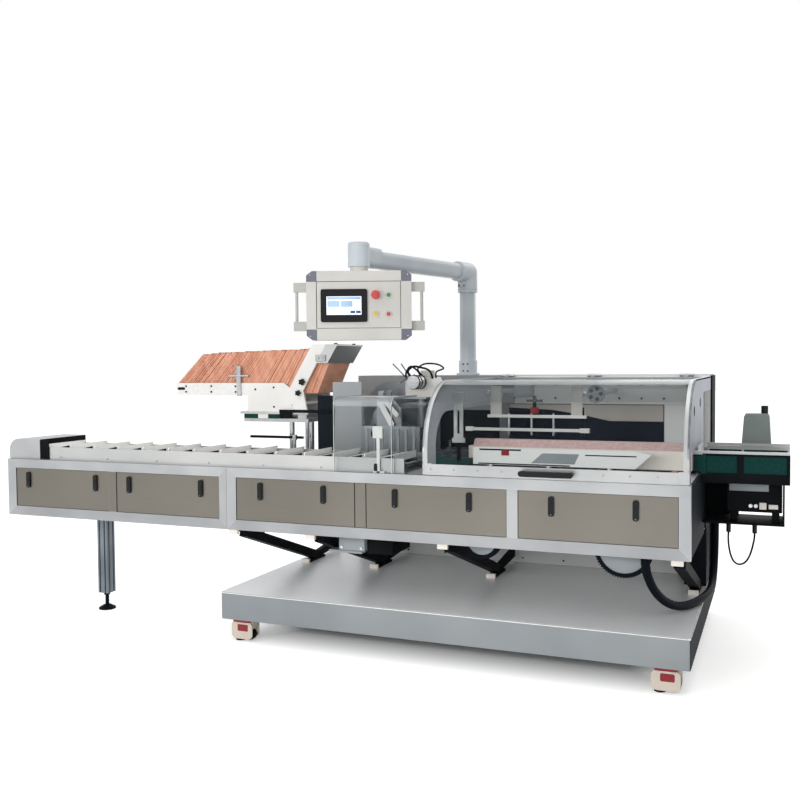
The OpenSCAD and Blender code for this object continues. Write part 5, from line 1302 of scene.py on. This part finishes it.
@dataclass
class Feeder(SubAssembly):
    """Carton feeder behind its bent clear guard."""

    air_lines: tuple = (
        (40, 5.0, ((-1334, 470, 1238), (-1352, 466, 1268), (-1330, 468, 1290), (-1292, 492, 1286),
                   (-1268, 545, 1266), (-1262, 565, 1234))),
        (48, 4.0, ((-1300, 560, 1232), (-1322, 520, 1280), (-1286, 500, 1302), (-1216, 520, 1300),
                   (-1204, 560, 1282), (-1250, 580, 1262), (-1258, 600, 1236))),
        (36, 4.5, ((-1396, 560, 1226), (-1384, 520, 1262), (-1352, 505, 1292), (-1322, 520, 1268),
                   (-1318, 552, 1236))),
    )
    stem_ends: tuple = (
        ((-1446, 500, 1306), (-1366, 548, 1208)),
        ((-1402, 500, 1306), (-1362, 548, 1222)),
        ((-1408, 500, 1212), (-1350, 548, 1252)),
    )
    nodes: ClassVar[dict[str, Finish]] = {
        "carton_feeder": MILLED_ALUMINIUM,
        "fixed_guard": CLEAR_ACRYLIC,
    }

    def lever(self, a: Sequence[float], b: Sequence[float], y: float, w: float) -> Skin:
        """A flat lever between two pins: a stadium outline turned along its length."""
        length = math.dist(a, b)
        shape = plate(box_outline(-w, -w, length + w, w, w - 0.5, 5), Plane.XZ, y, y + 8, 1)
        angle = math.degrees(math.atan2(b[1] - a[1], b[0] - a[0]))
        turned = shape.turned(Plane.XZ, angle).moved(a[0], 0, a[1])
        pins = joined([
            rod(Plane.XZ, a[0], a[1], y - 5, 458, w * 0.5),
            rod(Plane.XZ, b[0], b[1], y - 5, 458, w * 0.5),
        ])
        return turned + pins

    def build(self) -> None:
        """Guard edges and a painted highlight along the bend, levers, slats, the left sheet,
        sensors, the drive and its lines.
        """
        turn = np.linspace(math.pi, math.pi / 2, 11)
        bend = np.stack([44 + 37 * np.cos(turn), 1120 + 37 * np.sin(turn)], 1)
        path = np.vstack([[(7, 828), (7, 1000)], bend, [(180, 1157), (303, 1157)]])
        edges = strip(path, 3.6, Plane.YZ, 0, 3.5)
        self.add("guard_edges", edges.repeated(grid((-1526, -1247))), POLISHED_STEEL)
        # A paler strip along the guard's bend: painted highlight
        self.add("guard_bend_painted_highlight", strip(path[2:14], 3.4, Plane.YZ, -1522, -1248), ACRYLIC_PAINTED_HIGHLIGHT)
        levers = joined([
            self.lever((-1492, 1119), (-1433, 1014), 442, 14),
            self.lever((-1470, 1135), (-1400, 1060), 430, 11),
        ])
        self.add("feeder_levers", levers, WHITE_PAINT)
        shield = plate(
            [(-1515, 1000), (-1385, 1000), (-1385, 1090), (-1450, 1150), (-1515, 1150)], Plane.XZ,
            456, 464, 1,
        )
        self.add("lever_plate", shield, MILLED_ALUMINIUM)
        slats = joined([
            slab(
                (-7, 300, DECK_Z), (7, 306, 1010), 1,
            ).repeated(grid(np.arange(-1500, -1255, 40.0))),
            slab((-1512, 298, 1000), (-1250, 300.5, 1014), 0.6),
        ])
        self.add("feeder_slats", slats, MILLED_ALUMINIUM)
        sheet = slab((-1762, 470, DECK_Z), (-1602, 476, 1218), 0.8)
        self.add("feeder_left_sheet", sheet, CABINET_STEEL)
        post = joined([
            slab((-1340, 12, 980), (-1292, 24, 1033), 2, 4),
            slab((-1322, 14, DECK_Z), (-1306, 22, 980), 1),
            slab((-1340, 14, DECK_Z), (-1284, 60, 836), 1),
        ])
        self.add("sensor_bracket", post, WHITE_PAINT)
        eye = joined([
            slab((-1352, 22, 985), (-1318, 44, 1012), 2, 4),
            slab((-1334, 10, 836), (-1318, 30, 868), 2, 3),
        ])
        self.add("sensor_eyes", eye, BLACK_PLASTIC)
        case = joined([
            plate(
                [
                    (-1400, 1140), (-1240, 1140), (-1240, 1176), (-1268, 1238), (-1390, 1238),
                    (-1400, 1228),
                ],
                Plane.XZ, 545, 700, 3,
            ),
            rod(Plane.XY, -1310, 622, 1237, 1272, 35, 28),
            rod(Plane.XZ, -1320, 1216, 449, 546, 32, 32),
        ])
        self.add("feeder_drive", case, CREAM_PAINT, ("feeder_gearbox",))
        ring = lathe([(31, -3), (35, -3), (35, 3), (31, 3)], Plane.XZ, 0, 0, 30)
        bands = ring.repeated(grid(-1320, (458, 490, 538), 1216))
        self.add("feeder_motor_bands", bands, BLACK_PLASTIC)
        self.add(
            "feeder_motor_sleeve", rod(Plane.XZ, -1320, 1216, 446, 544, 32.6, 32), POLISHED_STEEL,
        )
        lines = joined(
            tube(smooth(way, count), r, (0, 1, 0), 10)
            for count, r, way in self.air_lines
        )
        self.add("feeder_air_lines", lines, BLACK_RUBBER)
        stems = joined(tube(np.linspace(a, b, 5), 3.2, (0, 1, 0), 8) for a, b in self.stem_ends)
        self.add("feeder_stems", stems, CHAIN_STEEL)


@dataclass
class ClosingSection(SubAssembly):
    """Carton line, shroud, ploughs and hold-down gear under the hood."""

    shaft_x: tuple = (-985.0, -470.0)
    nodes: ClassVar[dict[str, Finish]] = {
        "carton_conveyor": CHAIN_STEEL,
        "guide_blocks": GREEN_PLASTIC,
        "hood_hinges": POLISHED_STEEL,
    }

    def shroud(self) -> Skin:
        """A five-point profile carried along the line, on four square legs."""
        cover = plate(
            [(372, 842), (372, 925), (400, 957), (434, 957), (434, 842)], Plane.YZ, -994, -30, 1.2,
        )
        leg = slab((0, 392, DECK_Z), (24, 412, 843), 0.8)
        return cover + leg.repeated(grid(-934 + 273.3 * np.arange(4)))

    def ploughs(self) -> Skin:
        """A pointed bar on three pins."""
        bar = plate(
            [(-955, 856), (-955, 930), (-245, 930), (-180, 916), (-245, 856)], Plane.XZ, 250, 264,
            1,
        )
        pins = rod(Plane.XY, 0, 257, DECK_Z, 857, 6).repeated(grid((-875, -615, -355)))
        return bar + pins

    def slot_plate(self) -> Skin:
        """An upright plate with a long slot, a wide head and a wide foot."""
        side = slab((0, 300, 947), (17.5, 308, 1173), 0.8).repeated(grid((-1063, -1035.5)))
        ends = joined([
            slab((-1071, 298, 944), (-1010, 310, 966), 1),
            slab((-1071, 299, 1136), (-1010, 309, 1174), 1),
        ])
        bridge = joined([
            slab((-1046, 300.5, 960), (-1035, 307.5, 986), 0.4),
            slab((-1046, 300.5, 1091), (-1035, 307.5, 1140), 0.4),
        ])
        return side + ends + bridge

    def hold_down(self) -> None:
        """Two shafts with cross pins, hangers, rails, rods, probe, drum, pulley and knob."""
        shafts = joined([
            rod(Plane.XZ, 0, 1160, 570, 1115, 13).repeated(grid(self.shaft_x)),
            slab((-12, 604, 1146), (12, 636, 1174), 1).repeated(grid(self.shaft_x)),
            rod(Plane.YZ, 620, 1158, -1005, -925, 11),
            rod(Plane.YZ, 620, 1158, -595, -450, 11),
        ])
        self.add("hold_down_shafts", shafts, POLISHED_STEEL, ("hold_down_frame",))
        hanger = joined([
            slab((0, 590, 1048), (56, 600, 1194), 1.5, 4),
            slab((0, 599, 1149), (56, 620, 1162), 1),
        ])
        self.add("hold_down_hangers", hanger.repeated(grid((-977, -588))), CREAM_PAINT)
        rails = joined([
            slab((-990, 584, 1045), (-515, 598, 1059), 1),
            slab((-1098, 584, 981), (-500, 598, 995), 1),
            slab((-1100, 580, 978), (-1062, 602, 999), 1.5),
            slab((-546, 580, 978), (-500, 602, 999), 1.5),
        ])
        self.add("hold_down_rails", rails, WHITE_PAINT)
        rods = rod(Plane.XY, 0, 591, 962, 1066, 6).repeated(grid((-885, -775, -670)))
        self.add("hold_down_rods", rods, POLISHED_STEEL)
        probes = rod(Plane.XY, -530, 591, 938, 1096, 4.5)
        self.add("hold_down_probe", probes, BLACK_PLASTIC)
        drum = joined([
            rod(Plane.YZ, 585, 1172, -852, -766, 30, 32),
            rod(Plane.YZ, 585, 1172, -922, -851, 11),
            rod(Plane.XZ, -470, 1160, 568, 586, 42, 36),
        ])
        self.add("hold_down_drum", drum, MOTOR_PAINT)
        x, y = -760.0, 591.0
        knob = joined([
            rod(Plane.YZ, y, 1126, x - 38, x + 38, 6),
            rod(Plane.XZ, x, 1126, y - 38, y + 38, 6),
            rod(Plane.XY, x, y, 1094, 1150, 9),
        ])
        self.add("star_knob", knob, BLACK_PLASTIC, ("height_knob",))
        self.add(
            "knob_block", slab((x - 18, y - 15, 1066), (x + 18, y + 15, 1095), 1.5), RED_PLASTIC,
        )

    def build(self) -> None:
        """Side plate, shroud, ploughs, slot plate, hold-down gear, chain links and wall bolts."""
        self.add("feeder_side_plate", slab((-1370, 770, DECK_Z), (-985, 776, 1070), 1), SLATE_AND_PAINTED_SHADE)
        self.add("flap_shroud", self.shroud(), ROSE_PLASTIC, ("carton_shroud",))
        self.add("plough_bar", self.ploughs(), WALL_STEEL_AND_PAINTED_LIGHT, ("folding_ploughs",))
        self.add("slot_plate", self.slot_plate(), POCKET_STEEL)
        self.add("slot_plate_post", slab((-1049, 301, 852), (-1032, 307, 950), 1), BLACK_COAT_AND_PAINTED_SHADE)
        self.hold_down()
        link = plate(box_outline(-11, -6, 11, 6, 5.5, 3), Plane.XZ, -2, 2, 0.4)
        x = np.arange(-1210, -40, CHAIN_PITCH)
        plates = link.repeated(grid(x, (519, 535, 645, 661), 884))
        self.add("conveyor_chain_links", plates, CHAIN_STEEL)
        back = grid(np.arange(-1000, -60, 110.0), 0, (1120, 1190))
        self.add("back_wall_bolts", screw(Plane.XZ, 1112.6, -1, 12).repeated(back), BLACK_PLASTIC)
        skirt = joined([
            slab((-992, 369.6, 844), (-32, 372.4, 924), 0.6),
            rod(Plane.XY, -994, 403, 844, 924, 30, 32),
        ])
        self.add("shroud_skirt", skirt, WHITE_PLASTIC)
        self.add("plough_mark", slab((-823, 248.6, 898), (-789, 250.2, 924), 0.4, 3), RED_PLASTIC)
        # Black strips for the plough's slots: painted shade
        slot = joined([
            slab((-925, 249.2, 919), (-735, 250.4, 926), 0.3),
            slab((-455, 249.2, 906), (-240, 250.4, 911), 0.3),
            slab((-930, 249.2, 858), (-520, 250.4, 863), 0.3),
        ])
        self.add("plough_slots_painted_shade", slot, BLACK_COAT_AND_PAINTED_SHADE)
        panes = plate(
            [(-690, 868), (-500, 868), (-480, 912), (-640, 912)], Plane.XZ, 249.2, 250.4, 0.3,
        )
        self.add("plough_panes", panes, MOTOR_PAINT)
        # Black discs for the pulley's holes: painted shade
        turn = np.arange(5) * 2 * math.pi / 5
        holes = [
            plate(
                circle(-470 + 25 * math.cos(a), 1160 + 25 * math.sin(a), 9), Plane.XZ, 567.0, 568.4,
                0.2,
            )
            for a in turn
        ]
        self.add("pulley_holes_painted_shade", joined(holes), BLACK_COAT_AND_PAINTED_SHADE)


@dataclass
class RearCabinet(SubAssembly):
    """Rear cabinet, its doors and the window behind the line."""

    nodes: ClassVar[dict[str, Finish]] = {
        "rear_cabinet": CABINET_STEEL,
        "rear_doors": PANEL_STEEL,
        "back_window": SMOKED_ACRYLIC,
    }

    def louvre(self) -> Skin:
        """One pressed louvre: a quarter ellipse lip that rises from the door and is
        open below, 150 mm long with its ends drawn down by a power of a cosine."""
        t = np.linspace(-1, 1, 17)
        lift = np.clip(1.15 * np.cos(t * math.pi / 2) ** 0.35, 0, 1)
        turn = np.linspace(0, math.pi / 2, 6)
        rings = np.empty((17, 6, 3))
        rings[..., 0] = 75 * t[:, None]
        rings[..., 1] = 9 * lift[:, None] * np.sin(turn)
        rings[..., 2] = 12 * np.cos(turn)[None, :]
        return loft(rings, closed=False, capped=False)

    def build(self) -> None:
        """Louvres low on each rear door, the window's blind, wall sheets painted near white as
        painted reflection, a corner sheet of painted shade and skirt screws.
        """
        places = grid((-1578, -933, -288), 1341, 330 + 34 * np.arange(8))
        self.add("door_louvres", self.louvre().repeated(places), PANEL_STEEL)
        edge = [
            (-1028, 1086), (-232, 1086), (-232, 1004), (-500, 1004), (-640, 1034), (-800, 1058),
            (-1028, 1068),
        ]
        self.add("window_blind", plate(edge, Plane.XZ, 1107.4, 1109.4, 0.4), BLIND_PAINT)
        # Near-white wall sheets: painted reflection, and painted light on the low sheet in the
        # shade under the housing
        wall = joined([
            slab((-1000, 1112.6, 1090), (-10, 1115.2, 1238), 0.4),
            slab((-228, 1112.6, 880), (-10, 1115.2, 1092), 0.4),
            slab((-1919, 1113.4, 238), (-152, 1115.2, 533), 0.4),
        ])
        self.add("rear_wall_sheets", wall, WALL_STEEL_AND_PAINTED_LIGHT)
        # A slate sheet on the rear wall's right corner: painted shade
        self.add(
            "rear_corner_painted_shade", slab((-150, 1112.8, 238), (-8, 1115.4, 826), 0.4), SLATE_AND_PAINTED_SHADE,
        )
        heads = screw(Plane.XZ, 1113.4, -1, 10).repeated(
            grid(np.arange(-1840, -160, 220.0), 0, 262)
        )
        self.add("skirt_screws", heads, BLACK_PLASTIC)


@dataclass
class Hood(SubAssembly):
    """Clear lifting hood with steel arches, rails and a black handle."""

    back: float = 1072.0
    centre: tuple = (288.0, 930.0)
    radius: float = 300.0
    handle_x: float = -557.0
    handle_half: float = 130.0
    body: ClassVar[str] = "hood"
    nodes: ClassVar[dict[str, Finish]] = {
        "hood_rails": TRIM_STEEL,
        "hood_sheet": CLEAR_ACRYLIC,
        "hood_handle": BLACK_PLASTIC,
    }

    def edge(self, inset_by: float) -> np.ndarray:
        """The hood's outline less an inset: straight up the front, a quarter circle, then
        level back to the hinges."""
        turn = np.linspace(math.pi, math.pi / 2, 25)
        y, z = self.centre
        r = self.radius - inset_by
        front = [(y - r, height) for height in (832, 880)]
        bend = np.stack([y + r * np.cos(turn), z + r * np.sin(turn)], 1)
        return np.vstack([front, bend, [(600, z + r), (self.back, z + r)]])

    def arches(self) -> None:
        """An arch plate and a bright rim at each end, the left plate painted light, the rims' feet,
        the right end's web with its holes as painted shade, and a painted highlight along the
        sheet's crown."""
        plates = strip(self.edge(70), 70, Plane.YZ, -1095, -1087)
        # The left plate's paler steel is painted light on its shaded inner face
        self.add("left_arch_plate", plates, ARCH_STEEL_PAINTED_LIGHT, ("hood_left_arch",))
        rims = joined([
            strip(self.edge(2.5), 2.5, Plane.YZ, -1095, -1073),
            strip(self.edge(2.5), 2.5, Plane.YZ, -27, -5),
        ])
        ends = [slab((x, -12.8, 832), (x + 41, -7, 881), 0.4) for x in (-1095.4, -45.6)]
        ends += [
            slab((x, self.back - 36, 1206), (x + 19, self.back, 1229.6), 0.6)
            for x in (-1074, -46)
        ]
        self.add("arch_rims", rims + joined(ends), TRIM_STEEL)
        bend = self.edge(0)[1:-2]
        web = np.vstack([[(-12, 950)], bend[bend[:, 1] > 952], [(630, 1230), (630, 950)]])
        right = strip(self.edge(31), 31, Plane.YZ, -13, -5) + plate(web, Plane.YZ, -12.6, -5.4, 0.4)
        self.add("right_arch_plate", right, ARCH_STEEL, ("hood_right_arch",))
        # Black discs for the end plate's holes: painted shade
        holes = [
            plate(circle(y, z, 20), Plane.YZ, -6, -4.6, 0.2)
            for y, z in ((190, 1105), (470, 1128))
        ]
        # A paler strip along the sheet's crown: painted highlight
        crown = self.edge(2.5)
        crown = crown[(crown[:, 0] > 190) & (crown[:, 0] < 300)]
        self.add("hood_crown_painted_highlight", strip(crown, 2.7, Plane.YZ, -1072, -28), ACRYLIC_PAINTED_HIGHLIGHT)
        self.add("end_plate_holes_painted_shade", joined(holes), BLACK_COAT_AND_PAINTED_SHADE)

    def build(self) -> None:
        """Arches, and the screws of the front band, none of them behind the handle."""
        self.arches()
        x = np.arange(-1060, -20, 104.0)
        heads = grid(x[abs(x - self.handle_x) > self.handle_half], 0, 856)
        self.add("hood_band_screws", screw(Plane.XZ, -12, -1, 9).repeated(heads), POLISHED_STEEL)


@dataclass
class SwivelArm(SubAssembly):
    """Swivel arm that carries the operator's box."""

    body: ClassVar[str] = "arm"
    nodes: ClassVar[dict[str, Finish]] = {"panel_arm": BLUE_GREY_PAINT}

    def build(self) -> None:
        """The bolted cover plate on the arm's root."""
        self.add(
            "arm_root_plate", slab((-1330, 1148, 1724), (-1286, 1156, 1792), 1.5, 6),
            BLUE_GREY_PAINT,
        )
        heads = grid((-1322, -1294), 0, (1733, 1783))
        self.add("arm_root_screws", screw(Plane.XZ, 1148, -1, 9).repeated(heads), BLACK_PLASTIC)


@dataclass
class Column(SubAssembly):
    """Octagonal column on the rear cabinet."""

    place: tuple = (-1292.0, 1205.0)

    def bar(self, low: float, high: float, flats: float) -> Skin:
        """An eight-sided bar, its corner radius half the flats over the cosine of an
        eighth of a half turn, with flats to the front and the sides."""
        corner = flats / 2 / math.cos(math.pi / 8)
        return plate(
            circle(0, 0, corner, 8), Plane.XY, low, high, 1.2,
        ).turned(Plane.XY, 22.5).moved(*self.place, 0)

    def build(self) -> None:
        """Column, socket, flange, collar and the screws round the socket."""
        x, y = self.place
        column = joined([
            self.bar(1240, 1712, 80),
            self.bar(1240, 1322, 92),
            slab((x - 53, y - 53, 1240), (x + 53, y + 53, 1252), 1.5, 12),
            rod(Plane.XY, x, y, 1695, 1712, 54, 40),
            rod(Plane.XY, x, y, 1711, 1772, 25, 32),
        ])
        self.add("column_post", column, BLUE_GREY_PAINT, ("panel_column",))
        heads = grid((x - 13, x + 13), 0, (1264, 1302))
        self.add("column_base_screws", screw(Plane.XZ, 1159, -1, 9).repeated(heads), BLACK_PLASTIC)


@dataclass
class OperatorPanel(SubAssembly):
    """Operator's box: bezel, lit display, push buttons and corner pieces."""

    body: ClassVar[str] = "panel"
    spigot: tuple = (-1528.4, 297.3)
    turn: float = 22.5
    face: float = -45.0
    centre: tuple = (-70.0, 1579.0)
    buttons: tuple = (
        (78.0, 1627.0, RED_CAP, True),
        (138.0, 1627.0, GREEN_CAP, False),
        (78.0, 1538.0, YELLOW_CAP, False),
        (138.0, 1538.0, RED_CAP, False),
    )
    nodes: ClassVar[dict[str, Finish]] = {
        "panel_enclosure": CREAM_PAINT,
        "panel_corners": GREY_PLASTIC,
        "panel_trim": BLACK_PLASTIC,
        "panel_screen": SCREEN,
        "panel_handles": LUG_PLASTIC,
    }

    def world(self, points: np.ndarray) -> np.ndarray:
        """Box points, centred on the spigot, turned and set on it."""
        c, s = math.cos(math.radians(self.turn)), math.sin(math.radians(self.turn))
        x = self.spigot[0] + c * points[:, 0] - s * points[:, 1]
        y = self.spigot[1] + s * points[:, 0] + c * points[:, 1]
        return np.stack([x, y, points[:, 2]], 1)

    def cap(self, x: float, z: float, stop: bool) -> Skin:
        """A push button's cap, or a mushroom for the stop, turned about its axis."""
        f = self.face
        flat = [(9.5, f - 4), (10, f - 9), (9.2, f - 11.5), (6, f - 12.6), (0.4, f - 13)]
        mushroom = [
            (9, f - 4), (9, f - 20), (19, f - 23), (21, f - 27), (20.4, f - 31), (16, f - 34.5),
            (8, f - 36), (0.4, f - 36.3),
        ]
        return lathe(mushroom if stop else flat, Plane.XZ, x, z, 32)

    def tiles(self, boxes: Sequence[Sequence[float]], y: float) -> Skin:
        """Flat fields of the display, each a thin plate just proud of the glass."""
        return joined(
            plate(box_outline(u0, v0, u1, v1, 1.5, 2), Plane.XZ, y, y + 0.6, 0.15)
            for u0, v0, u1, v1 in boxes
        )

    def build(self) -> None:
        """Buttons with pale rings, display fields, grooves and corner screws."""
        ring = [(11, -1), (14.5, -1), (15, -3.5), (13.6, -6), (10.6, -6.4), (10.2, -4)]
        rings = [
            lathe([(r, self.face + w) for r, w in ring], Plane.XZ, x, z, 32)
            for x, z, _, _ in self.buttons
        ]
        self.add("button_rings", joined(rings), PALE_RING, ("panel_buttons",))
        for number, (x, z, finish, stop) in enumerate(self.buttons):
            self.add(f"button_cap_{number + 1}", self.cap(x, z, stop), finish)
        u, v = self.centre
        glass = self.face - 8 + 0.3
        self.add(
            "display_fields",
            self.tiles(
                [
                    (u - 78, v + 28, u + 78, v + 40), (u - 78, v - 6, u - 20, v + 22),
                    (u - 14, v - 6, u + 40, v + 22),
                ],
                glass,
            ),
            SCREEN_BLUE,
        )
        self.add(
            "display_keys",
            self.tiles([(u + 30, v - 36, u + 52, v - 24), (u + 56, v - 36, u + 78, v - 24)], glass),
            SCREEN_NAVY,
        )
        lines = [
            ((-200, 1691), (196, 1693.5)), ((-200, 1472.5), (196, 1475)),
            ((-200, 1473), (-197.5, 1693)), ((193.5, 1473), (196, 1693)),
        ]
        grooves = [
            plate(box_outline(a[0], a[1], b[0], b[1]), Plane.XZ, -46.2, -44.8, 0.2)
            for a, b in lines
        ]
        self.add("field_grooves", joined(grooves), BLACK_COAT_AND_PAINTED_SHADE)
        spots = grid((-228, 228), 0, (1437, 1723))
        self.add("corner_screws", screw(Plane.XZ, -48, -1, 8).repeated(spots), POLISHED_STEEL)


@dataclass
class Discharge(SubAssembly):
    """Discharge belt between green panels, and the coder beside it."""

    nodes: ClassVar[dict[str, Finish]] = {
        "discharge_frame": TRIM_STEEL,
        "discharge_panels": GREEN_PLASTIC,
        "discharge_belt": PALE_BELT,
    }

    def coder(self) -> Skin:
        """The coder's cabinet on four feet in a tray that hangs by a wall on its right."""
        foot = slab((0, 0, 609), (30, 30, 655), 0.8)
        feet = foot.repeated(grid((111, 281), (571, 719)))
        tray = slab((0, 540, 600), (332, 780, 610), 1) + slab((324, 540, 600), (332, 780, 790), 1)
        return slab((100, 560, 654), (322, 760, 786), 2) + feet + tray

    def head(self) -> Skin:
        """The print head, a six-point outline carried back, on its upright."""
        case = plate(
            [(149, 905), (276, 905), (267, 1054), (260, 1068), (167, 1068), (160, 1054)], Plane.XZ,
            748, 848, 2,
        )
        return case + slab((191, 740, 790), (234, 770, 906), 1)

    def build(self) -> None:
        """Coder, print head, black frames with a bar of painted shade under the belt, the lead
        panel, a back plate partly of painted shade, plates and connectors.
        """
        self.add("coder_cabinet", self.coder(), BLACK_COAT_AND_PAINTED_SHADE, ("coder_box",))
        self.add("print_head", self.head(), CODER_PAINT, ("coder_head",))
        self.add("print_head_plug", rod(Plane.XY, 246, 808, 1067, 1102, 15), BLACK_PLASTIC)
        bars = [
            # The first bar: a black band painted as shade under the belt
            ((0, 438, 789), (352, 441, 832)),
            ((-38, 433, 828), (1, 436, 836)),
            ((0, 438, 904), (352, 441, 913)),
            ((-38, 433, 904), (1, 436, 913)),
            ((-38, 433, 828), (-32, 436, 912)),
            ((146, 437, 806), (172, 441, 912)),
            ((339, 437, 806), (352, 441, 912)),
        ]
        self.add("discharge_frame_and_painted_shade", joined(slab(a, b, 0.8) for a, b in bars), BLACK_COAT_AND_PAINTED_SHADE)
        self.add("discharge_lead_panel", slab((-38, 435, 828), (22, 440, 913), 0.8), GREEN_PLASTIC)
        self.add("discharge_lead_rail", slab((-38, 432, 908), (7, 440, 924), 1), POLISHED_STEEL)
        # A black plate behind the coder, partly painted shade of the machine's right end
        self.add("coder_back_plate_and_painted_shade", slab((-8, 772, 600), (102, 780, 790), 1), BLACK_COAT_AND_PAINTED_SHADE)
        plates = slab((109, 557, 744), (269, 561, 783), 0.8, 4)
        self.add("coder_face_plate", plates, MOTOR_PAINT)
        jacks = [rod(Plane.XZ, x, 682, 548, 562, 9, 18) for x in (196, 217)]
        self.add("coder_round_jacks", joined(jacks), POLISHED_STEEL)
        sockets = joined([
            slab((231, 550, 668), (260, 562, 697), 1.5, 3),
            slab((268, 550, 671), (306, 562, 690), 1.5, 3),
        ])
        self.add("coder_sockets", sockets, WHITE_PLASTIC)
        glands = [rod(Plane.XY, x, 600, 556, 601, 10, 14) for x in (105, 212)]
        self.add("cable_glands", joined(glands), BLACK_PLASTIC)


def main() -> None:
    """Builds the studio and every sub-assembly in order."""
    logging.basicConfig(level=logging.INFO, format="%(name)s %(message)s")
    Studio().build()
    parts: list[SubAssembly] = [
        Hoses(), Undercarriage(), FrontPanels(), Infeed(), Underframe(), Magazine(), Feeder(),
        ClosingSection(), RearCabinet(), Hood(), SwivelArm(), Column(), OperatorPanel(),
        Discharge(),
    ]
    for part in parts:
        part.dress()
        part.build()


if __name__ == "__main__":
    main()
